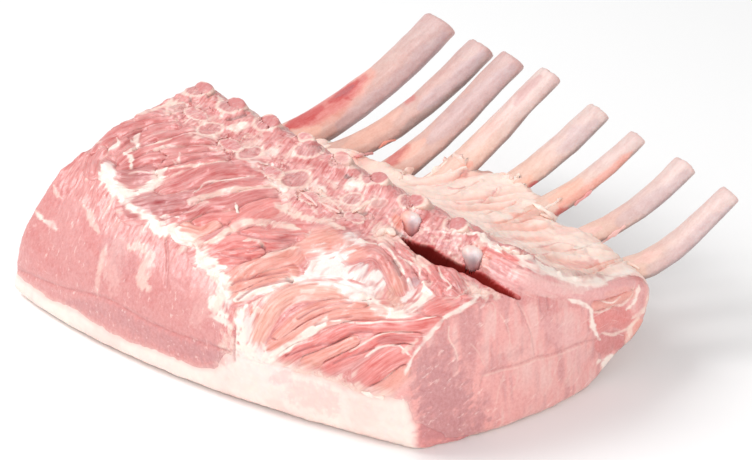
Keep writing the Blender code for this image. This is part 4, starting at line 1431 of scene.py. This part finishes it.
def build_lean(settings):
    """The whole of the lean, finest where it shows most."""
    form = flesh_form()
    piece = add_piece("lean_meat", form.mesh.copy())
    for level in range(2):
        places, normals = skin(piece.data)
        back, over = fat_depths(form, places)
        shown = (normals[:, 2] > -0.35) & (normals[:, 0] > -0.7)
        shown &= (back < 1.5 * MM) & (over < 1.5 * MM)
        shown &= (places[:, 1] < 12 * MM) | (normals[:, 0] > 0.5)
        flat_side = (places[:, 1] < -100 * MM) & (places[:, 0] < LOBE_X) & (places[:, 2] < 48 * MM)
        if level:
            shown &= ~flat_side
        refine(piece, shown)
    looks = Looks(form, piece.data, settings)
    looks.shape()
    looks.paint("")
    looks.move(-1.2 * MM * ease(-0.6 * MM, 1.6 * MM, np.maximum(looks.back, looks.over)))
    return piece


def slice_of(piece, name, low, high):
    """The closed part of a piece between two planes across x."""
    bm = opened(piece.data)
    for x, side in ((low, -1), (high, 1)):
        cut_off(bm, (x, 0, 0), (side, 0, 0))
    return add_piece(name, mesh_of(bm, name))


def build_fat(name, layer, settings):
    """A layer of fat: a patch of the flesh's surface with a thickness of its own."""
    form = flesh_form()
    back, over = fat_depths(form, read(form.mesh))
    depth = back if layer == "back_fat" else over
    piece = add_piece(name, keep_faces(form.mesh, depth > -1.6 * MM))
    keep_largest(piece)
    refine(piece, read(piece.data, "normal")[:, 2] > -0.5)
    looks = Looks(form, piece.data, settings)
    looks.shape()
    looks.paint(layer)
    depth = looks.back if layer == "back_fat" else looks.over
    looks.move(-1.3 * MM * ease(0.6 * MM, -1.6 * MM, depth))
    apply_modifier(piece, "SOLIDIFY", thickness=settings.fat_thickness, offset=-1.0, use_rim=True)
    return piece


# ---------------------------------------------------------------------------------------------------
# Bones.

RUDDY_RIBS = 3  # the far ribs, up to this one, are redder and darker than the rest
RIB_RISE = 0.45  # how steeply a rib's shaft climbs
HEAD_LENGTH = 15 * MM
FACES_UP, FACES_OUT = 0.75, 0.72  # the least that a sawn end, or a rib's tip, faces its own way
SHADED_WAY = 0.8 * RIGHT - 0.6 * UP  # the side of a rib that lies away from the light


def bone_piece(node, name, settings, smoothing):
    piece = merged_copy(node, name)
    remesh(piece, settings.grain)
    smooth(piece, smoothing)
    return piece


def edge_distance(places, inside):
    """How far each of the inside places is from the nearest one outside, 0 for the rest."""
    result = np.zeros(len(places))
    outside = places[~inside]
    for k in np.flatnonzero(inside):
        result[k] = np.sqrt(((outside - places[k]) ** 2).sum(1).min())
    return result


def paint_sawn(places, settings, sawn):
    """Spongy red marrow inside a pale rim of hard bone, where the bone is sawn."""
    edge = edge_distance(places, sawn)
    fine, slow = lumps(places, 1.3 * MM, 21), lumps(places, 4 * MM, 22)
    return washes(
        plain(settings.marrow_colour, len(places)),
        ("red", 0.5, 0.0, 0.7, fine + 0.5 * slow),
        ("cream", 0.55, 0.1, 0.7, -fine),
        ("cream", 0.85, 1.9 * MM, 0.7 * MM, edge + 0.3 * MM * slow),
    )


def paint_shaft(settings, places, normals, t, uneven, ruddy):
    """Scraped bone, peach at its root; t is 0 there and 1 at the tip."""
    mauve, peach, light = (0.34, 0.28, 0.86) if ruddy else (0.14, 0.08, 0.96)
    paint = blend(plain(settings.bone_colour, len(places)), settings.root_colour, 0.75 * ease(0.55, 0.0, t))
    paint = washes(paint, ("blush", 0.5, 0.84, 1.0, t))
    paint = wash(paint, "mauve", mauve + 0.12 * ease(0.1, 0.9, uneven))
    paint = washes(paint, ("fat", 0.15, 0.2, 0.9, -uneven), ("peach", peach, 0.95, 0.6, t))
    shaded = normals @ np.array(SHADED_WAY)
    return washes(light * paint, ("shade", 0.85 * ease(1.0, 0.8, t), 0.25, 0.9, shaded))


def build_rib(number, settings):
    node = f"rib_{number}"
    piece = bone_piece(node, f"rib_bone_{number}", settings, 5)
    mesh = piece.data
    places, normals = skin(mesh)
    slope, _ = np.polyfit(places[:, 1], places[:, 0], 1)
    along = np.array(Vector((slope, 1, RIB_RISE)).normalized())
    root, tip = exit_of(node), places[:, 1].max()
    t = (places[:, 1] - root) / (tip - root)
    stretched = places - np.outer(places @ along, along) * 0.8
    uneven = lumps_on_lumps(stretched, 6 * MM, 2.4 * MM, 30 + number)
    head = (places[:, 1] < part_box(node)[0].y + HEAD_LENGTH) & (normals[:, 2] > FACES_UP)
    end = (normals @ along > FACES_OUT) & (t > 0.8)
    height = settings.roughening * uneven * (1 - 0.75 * (head | end))
    height -= 0.5 * MM * end * (lumps(places, 2 * MM, 32) > 0.2)

    paint = paint_shaft(settings, places, normals, t, uneven, number <= RUDDY_RIBS)
    paint = np.where(head[:, None], paint_sawn(places, settings, head), paint)
    paint = np.where(end[:, None], wash(paint_sawn(places, settings, end), "blush", 0.5), paint)
    tree = tree_of(mesh)
    view = View(places, normals, tree)
    ragged = lumps_on_lumps(places, 6 * MM, 2.6 * MM, 33)
    # the stains, and painted shade from the grey and shade strokes on the side away from the light
    for line in draw(BONE_STAINS_AND_SHADE[number], tree):
        which, share = stroke_share(view, line, 0.3 * line.half_width * ragged)
        touch(paint, which, line.tone, share)
    paint_ovals(paint, view, flesh_form())
    add_paint(mesh, paint)
    write_within(mesh, places + normals * height[:, None])
    return piece


def build_chine(number, settings):
    piece = bone_piece(f"chine_{number}", f"sawn_vertebra_{number}", settings, 4)
    mesh = piece.data
    places, normals = skin(mesh)
    top = normals[:, 2] > FACES_UP
    paint = paint_sawn(places, settings, top)
    paint_ovals(paint, View(places, normals, tree_of(mesh)), flesh_form())
    add_paint(mesh, paint)
    height = 0.35 * MM * lumps(places, 2 * MM, 40) * top + 0.3 * MM * lumps(places, 6 * MM, 41)
    write_within(mesh, places + normals * height[:, None])
    return piece


def build_cartilage(number, settings):
    """A smooth knob with a groove towards the eye, cream above, rosy below and coral at its left; the grey in
    the groove and the rose towards its lower tip are painted shade.
    """
    node = f"cartilage_{number}"
    piece = bone_piece(node, f"joint_{node}", settings, 4)
    mesh = piece.data
    places, normals = skin(mesh)
    low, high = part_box(node)
    offset = places - np.array((low + high) / 2)
    to_right, below = offset @ np.array(RIGHT), offset @ -np.array(UP)
    groove = ease(1.8 * MM, 0.0, np.abs(to_right)) * ease(0.2, 0.8, normals @ -np.array(AHEAD))
    paint = washes(
        plain(settings.gristle_colour, len(places)),
        ("grey", 0.3, 0.1, 0.9, lumps(places, 5 * MM, 42)),
        # rose towards the lower tip is painted shade
        ("rose", 0.7, -2 * MM, 4 * MM, below),
        ("cream", 0.5, -2 * MM, -4 * MM, below),
    )
    # grey in the groove is painted shade
    paint = wash(paint, "grey", 0.45 * groove)
    add_paint(mesh, washes(paint, ("coral", 0.7 if number == 1 else 0.2, 0.5 * MM, -2.5 * MM, to_right)))
    height = 1.2 * MM + 0.3 * MM * lumps(places, 4 * MM, 43) - 0.9 * MM * groove
    write_within(mesh, places + normals * height[:, None])
    return piece


# ---------------------------------------------------------------------------------------------------
# Slivers: small loose strips that lie on the rack.

SLIVER_SIDES = 10


def sliver_ring(bm, place, normal, ahead, half_width, half_height, swell):
    """The corners of one section of a sliver."""
    across = ahead.cross(normal).normalized()
    ring = []
    for k in range(SLIVER_SIDES):
        angle = 2 * math.pi * k / SLIVER_SIDES
        lift = half_height * (0.3 + swell * math.sin(angle))
        ring.append(bm.verts.new(place + across * half_width * math.cos(angle) + normal * lift))
    return ring


def build_sliver(name, tone, width, thickness, points, tree):
    """A thin strip along a line on the surface, tapered at both ends."""
    path = smooth_path(points)[::2]
    bm = bmesh.new()
    rings = []
    for n, (x, y) in enumerate(path):
        place, normal, _, _ = tree.ray_cast(EYE, sight(x, y))
        if place is None:
            continue
        t = n / (len(path) - 1)
        ahead_x, ahead_y = path[min(n + 1, len(path) - 1)] - path[max(n - 1, 0)]
        swell = 0.25 + 0.75 * math.sqrt(max(0.0, math.sin(math.pi * (0.04 + 0.92 * t))))
        wobble = 0.8 + 0.3 * math.sin(11 * t + len(name) + width)
        half_width = 0.5 * width * MM * swell * wobble
        ahead = RIGHT * ahead_x - UP * ahead_y
        rings.append(sliver_ring(bm, place, normal, ahead, half_width, 0.5 * thickness * MM, swell))
    for one, other in zip(rings, rings[1:]):
        for k in range(SLIVER_SIDES):
            after = (k + 1) % SLIVER_SIDES
            bm.faces.new((one[k], one[after], other[after], other[k]))
    bm.faces.new(rings[0])
    bm.faces.new(reversed(rings[-1]))
    bmesh.ops.recalc_face_normals(bm, faces=bm.faces)
    piece = add_piece(name, mesh_of(bm, name))
    apply_modifier(piece, "SUBSURF", levels=2, render_levels=2)
    places, normals = skin(piece.data)
    write_within(piece.data, places + normals * (0.3 * MM * lumps(places, 2.2 * MM, 50))[:, None])
    paint = washes(
        plain(TONES[tone], len(places)),
        ("rose", 0.3, 0.0, 0.8, lumps(places, 3 * MM, 51)),
        ("fat", 0.4, 0.2, 0.8, -lumps(places, 4 * MM, 52)),
    )
    add_paint(piece.data, paint)
    return piece


# ---------------------------------------------------------------------------------------------------
# Materials.


class Nodes:
    """Short words for building a material."""

    def __init__(self, name):
        self.material = bpy.data.materials.new(name)
        self.material.use_nodes = True
        self.tree = self.material.node_tree
        self.shader = self.tree.nodes["Principled BSDF"]

    def add(self, kind, links=(), **values):
        node = self.tree.nodes.new(kind)
        for key, value in values.items():
            setattr(node, key, value)
        for socket, source in dict(links).items():
            self.set(node.inputs[socket], source)
        return node

    def set(self, socket, source):
        if isinstance(source, bpy.types.NodeSocket):
            self.tree.links.new(source, socket)
        else:
            socket.default_value = source

    def place(self):
        return self.add("ShaderNodeTexCoord").outputs["Object"]

    def attribute(self, name, output="Fac"):
        return self.add("ShaderNodeAttribute", attribute_name=name).outputs[output]

    def noise(self, vector, scale, detail=3.0, roughness=0.55):
        links = {"Vector": vector, "Scale": scale, "Detail": detail, "Roughness": roughness}
        return self.add("ShaderNodeTexNoise", links).outputs["Fac"]

    def remap(self, value, low, high, new_low, new_high):
        links = {"Value": value, "From Min": low, "From Max": high, "To Min": new_low, "To Max": new_high}
        return self.add("ShaderNodeMapRange", links).outputs["Result"]

    def times(self, one, other):
        return self.add("ShaderNodeMath", {0: one, 1: other}, operation="MULTIPLY").outputs[0]

    def plus(self, one, other):
        return self.add("ShaderNodeMath", {0: one, 1: other}, operation="ADD").outputs[0]

    def mix(self, share, one, other, how="MIX"):
        links = {0: share, 6: one, 7: other}
        return self.add("ShaderNodeMix", data_type="RGBA", blend_type=how, links=links).outputs[2]

    def grey(self, value):
        """A number as a shade of grey."""
        return self.add("ShaderNodeCombineColor", {0: value, 1: value, 2: value}).outputs[0]

    def bump(self, height, distance, strength):
        links = {"Height": height, "Distance": distance, "Strength": strength}
        self.set(self.shader.inputs["Normal"], self.add("ShaderNodeBump", links).outputs["Normal"])

    def finish(self, colour, roughness, subsurface, coat, specular=0.4):
        values = {
            "Base Color": colour,
            "Roughness": roughness,
            "Subsurface Weight": subsurface,
            "Subsurface Radius": (1.0, 0.4, 0.3),
            "Subsurface Scale": 2.2 * MM,
            "Coat Weight": coat,
            "Coat Roughness": 0.2,
            "Specular IOR Level": specular,
        }
        for socket, source in values.items():
            self.set(self.shader.inputs[socket], source)
        return self.material


DARK_LEAN, PALE_LEAN = (0.77, 0.65, 0.65, 1), (1.0, 0.86, 0.82, 1)
FLECK, BLOOM = (1.0, 0.84, 0.78, 1), (0.85, 0.42, 0.38, 1)
DARK_BONE, PALE_BONE = (0.84, 0.72, 0.70, 1), (1.0, 0.95, 0.92, 1)
ALONG_BONE = (1.0, 0.25, 0.6)  # scratches are drawn out along the ribs


def flesh_material(name, streaks, subsurface, coat):
    """Moist flesh: fibres along each muscle, fine grain where it is cut across, and flecks of fat."""
    n = Nodes(name)
    paint, fibre = n.attribute("paint", "Color"), n.attribute("fibre", "Vector")
    lean, cut, sheen = n.attribute("lean"), n.attribute("cut"), n.attribute("sheen")
    place = n.place()
    threads = n.noise(fibre, 1.0, 4.0, 0.6)
    grain = n.remap(n.noise(place, 700.0, 3.0, 0.6), 0.0, 1.0, 0.32, 0.68)
    soft = n.noise(place, 210.0, 3.0, 0.5)
    texture = n.mix(cut, n.grey(threads), n.grey(grain))
    level = n.remap(n.add("ShaderNodeSeparateColor", {0: texture}).outputs[0], 0.3, 0.7, 0.0, 1.0)
    streaked = n.mix(level, n.mix(1.0, paint, DARK_LEAN, "MULTIPLY"), n.mix(0.30, paint, PALE_LEAN))
    shown = n.times(n.times(sheen, lean), streaks)
    flecks = n.remap(n.noise(fibre, 0.55, 5.0, 0.65), 0.60, 0.70, 0.0, 0.45)
    bloom = n.remap(soft, 0.35, 0.7, 0.0, 0.12)
    colour = n.mix(shown, paint, streaked)
    colour = n.mix(n.times(flecks, shown), colour, FLECK)
    colour = n.mix(n.times(bloom, sheen), colour, BLOOM)
    roughness = n.remap(n.noise(place, 330.0, 2.0), 0.3, 0.7, 0.30, 0.52)
    height = n.plus(n.times(level, n.times(lean, 0.7)), n.times(soft, 0.9))
    n.bump(n.plus(height, n.times(grain, 0.35)), distance=0.35 * MM, strength=0.55)
    return n.finish(colour, roughness, subsurface, n.times(sheen, coat), n.times(sheen, 0.4))


def bone_material(name, scale, contrast, rough, coat):
    """Scraped or sawn bone: fine pores and faint scratches over the painted colour."""
    n = Nodes(name)
    paint, place = n.attribute("paint", "Color"), n.place()
    long_way = n.add("ShaderNodeMapping", {"Vector": place, "Scale": ALONG_BONE}).outputs[0]
    scratches = n.noise(long_way, scale, 4.0, 0.65)
    pores = n.noise(place, 2.4 * scale, 2.0, 0.5)
    level = n.remap(n.plus(scratches, n.times(pores, 0.5)), 0.55, 0.95, 0.0, 1.0)
    streaked = n.mix(level, n.mix(1.0, paint, DARK_BONE, "MULTIPLY"), n.mix(0.25, paint, PALE_BONE))
    colour = n.mix(contrast, paint, streaked)
    roughness = n.remap(scratches, 0.3, 0.7, rough - 0.08, rough + 0.1)
    n.bump(n.plus(scratches, n.times(pores, 0.6)), distance=0.3 * MM, strength=0.5)
    return n.finish(colour, roughness, 0.12, coat)


def dress(piece, material, slot, *nodes):
    """Gives a finished piece its material and its body, shades it smooth and hides the nodes it stands for;
    the slot is not used.
    """
    piece.data.materials.clear()
    piece.data.materials.append(material)
    piece.data.shade_smooth()
    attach(piece, "root")
    if nodes:
        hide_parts(*nodes)


# ---------------------------------------------------------------------------------------------------
# Operators.

BEYOND_ENDS = 1.0  # in metres along x, further out than either end of the rack
SHARP = math.radians(70)  # an edge at a steeper turn than this isn't shaded smooth


class PORKRACK_OT_lean(bpy.types.Operator):
    """Add the lean meat, with its bundles, seams and creases, in slices across the rack"""

    bl_idname = "pork_rack.lean"
    bl_label = "Add Lean Meat"

    def execute(self, context):
        whole = build_lean(context.scene.pork_rack_flesh)
        material = flesh_material("moist_lean", streaks=1.0, subsurface=0.16, coat=0.35)
        ends = [-BEYOND_ENDS, *LEAN_CUTS, BEYOND_ENDS]
        for number, (low, high) in enumerate(zip(ends, ends[1:]), 1):
            part = slice_of(whole, f"lean_meat_{number}", low, high)
            dress(part, material, "lean", "loin_meat")
            part.data.set_sharp_from_angle(angle=SHARP)
        bpy.data.objects.remove(whole)
        return {"FINISHED"}


class PORKRACK_OT_back_fat(bpy.types.Operator):
    """Add the back fat that the rack lies on"""

    bl_idname = "pork_rack.back_fat"
    bl_label = "Add Back Fat"

    def execute(self, context):
        piece = build_fat("white_back_fat", "back_fat", context.scene.pork_rack_flesh)
        material = flesh_material("firm_fat", streaks=0.5, subsurface=0.3, coat=0.12)
        dress(piece, material, "back_fat", "back_fat")
        return {"FINISHED"}


class PORKRACK_OT_rib_fat(bpy.types.Operator):
    """Add the wrinkled fat over the ribs"""

    bl_idname = "pork_rack.rib_fat"
    bl_label = "Add Rib Fat"

    def execute(self, context):
        piece = build_fat("cream_rib_fat", "rib_fat", context.scene.pork_rack_flesh)
        material = flesh_material("soft_fat", streaks=0.6, subsurface=0.3, coat=0.2)
        dress(piece, material, "rib_fat", "rib_fat")
        return {"FINISHED"}


class PORKRACK_OT_ribs(bpy.types.Operator):
    """Add the eight scraped ribs"""

    bl_idname = "pork_rack.ribs"
    bl_label = "Add Ribs"

    def execute(self, context):
        material = bone_material("scraped_bone", scale=420.0, contrast=0.42, rough=0.44, coat=0.12)
        for number, node in enumerate(RIBS, 1):
            dress(build_rib(number, context.scene.pork_rack_bone), material, "bone", node)
        return {"FINISHED"}


class PORKRACK_OT_chine(bpy.types.Operator):
    """Add the sawn vertebrae"""

    bl_idname = "pork_rack.chine"
    bl_label = "Add Sawn Vertebrae"

    def execute(self, context):
        material = bone_material("spongy_bone", scale=900.0, contrast=0.9, rough=0.55, coat=0.1)
        for number, node in enumerate(CHINES, 1):
            dress(build_chine(number, context.scene.pork_rack_bone), material, "sawn_bone", node)
        return {"FINISHED"}


class PORKRACK_OT_cartilage(bpy.types.Operator):
    """Add the bared joint cartilage"""

    bl_idname = "pork_rack.cartilage"
    bl_label = "Add Cartilage"

    def execute(self, context):
        material = bone_material("wet_cartilage", scale=260.0, contrast=0.25, rough=0.36, coat=0.15)
        for number, node in enumerate(CARTILAGES, 1):
            dress(build_cartilage(number, context.scene.pork_rack_bone), material, "cartilage", node)
        return {"FINISHED"}


class PORKRACK_OT_slivers(bpy.types.Operator):
    """Add the loose slivers of fat and meat"""

    bl_idname = "pork_rack.slivers"
    bl_label = "Add Slivers"

    def execute(self, context):
        ribs = [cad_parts[node].data for node in RIBS]
        tree = tree_of(flesh_form().mesh, *ribs)
        material = bone_material("sliver_fat", scale=600.0, contrast=0.4, rough=0.42, coat=0.15)
        for sliver in SLIVERS:
            dress(build_sliver(*sliver, tree), material, "rib_fat")
        return {"FINISHED"}


class PORKRACK_OT_stage(bpy.types.Operator):
    """Add the floor, the studio light and the camera"""

    bl_idname = "pork_rack.stage"
    bl_label = "Set the Stage"

    def execute(self, context):
        settings = context.scene.pork_rack_stage
        self.add_floor(settings)
        self.add_light("key_light", KEY_PLACE, KEY_SIZE, settings.key_power)
        self.add_light("fill_light", FILL_PLACE, FILL_SIZE, settings.fill_power)
        self.add_sky(context.scene, settings)
        self.add_camera(context.scene)
        return {"FINISHED"}

    def add_floor(self, settings):
        deselect_all()
        bpy.ops.mesh.primitive_plane_add(size=settings.floor_size, location=(0, 0, -FLOOR_GAP))
        floor = bpy.context.active_object
        floor.name = "studio_floor"
        n = Nodes("pale_floor")
        shade = n.remap(n.noise(n.place(), 3.0), 0.3, 0.7, 0.0, 0.03)
        colour = (*settings.floor_colour, 1)
        n.set(n.shader.inputs["Base Color"], n.mix(shade, colour, FLOOR_SHADE))
        n.set(n.shader.inputs["Roughness"], 0.6)
        floor.data.materials.append(n.material)

    def add_light(self, name, place, size, power):
        lamp = bpy.data.lights.new(name, "AREA")
        lamp.energy = power
        lamp.size = size
        light = add_piece(name, lamp)
        light.location = place
        light.rotation_euler = (-Vector(place)).to_track_quat("-Z", "Y").to_euler()

    def add_sky(self, scene, settings):
        world = bpy.data.worlds.new("studio")
        scene.world = world
        world.use_nodes = True
        background = world.node_tree.nodes["Background"]
        background.inputs["Color"].default_value = (1.0, 1.0, 1.0, 1)
        background.inputs["Strength"].default_value = settings.sky_strength

    def add_camera(self, scene):
        data = bpy.data.cameras.new("camera")
        data.lens = LENS
        data.sensor_width = SENSOR
        data.sensor_fit = "HORIZONTAL"
        data.clip_start = 0.05
        camera = add_piece("camera", data)
        camera.location = EYE
        camera.rotation_euler = (math.radians(90) - EYE_ELEVATION, 0, EYE_AZIMUTH)
        scene.camera = camera
        scene.view_settings.view_transform = "Standard"


class PORKRACK_PT_panel(bpy.types.Panel):
    """Lists the pieces of the rack and their settings"""

    bl_label = "Pork Rack"
    bl_idname = "PORKRACK_PT_panel"
    bl_space_type = "VIEW_3D"
    bl_region_type = "UI"
    bl_category = "Pork Rack"

    def draw(self, context):
        for name, _ in SETTINGS:
            box = self.layout.box()
            settings = getattr(context.scene, name)
            for key in settings.__annotations__:
                box.prop(settings, key)
        for operator in OPERATORS:
            self.layout.operator(operator.bl_idname)


SETTINGS = (
    ("pork_rack_flesh", PorkRackFlesh),
    ("pork_rack_bone", PorkRackBone),
    ("pork_rack_stage", PorkRackStage),
)
OPERATORS = (
    PORKRACK_OT_lean,
    PORKRACK_OT_back_fat,
    PORKRACK_OT_rib_fat,
    PORKRACK_OT_ribs,
    PORKRACK_OT_chine,
    PORKRACK_OT_cartilage,
    PORKRACK_OT_slivers,
    PORKRACK_OT_stage,
)


def register():
    for name, group in SETTINGS:
        bpy.utils.register_class(group)
        setattr(bpy.types.Scene, name, PointerProperty(type=group))
    for operator in OPERATORS:
        bpy.utils.register_class(operator)
    bpy.utils.register_class(PORKRACK_PT_panel)


def unregister():
    bpy.utils.unregister_class(PORKRACK_PT_panel)
    for operator in reversed(OPERATORS):
        bpy.utils.unregister_class(operator)
    for name, group in reversed(SETTINGS):
        delattr(bpy.types.Scene, name)
        bpy.utils.unregister_class(group)


def main():
    register()
    bpy.ops.pork_rack.lean()
    bpy.ops.pork_rack.back_fat()
    bpy.ops.pork_rack.rib_fat()
    bpy.ops.pork_rack.ribs()
    bpy.ops.pork_rack.chine()
    bpy.ops.pork_rack.cartilage()
    bpy.ops.pork_rack.slivers()
    bpy.ops.pork_rack.stage()


if __name__ == "__main__":
    main()
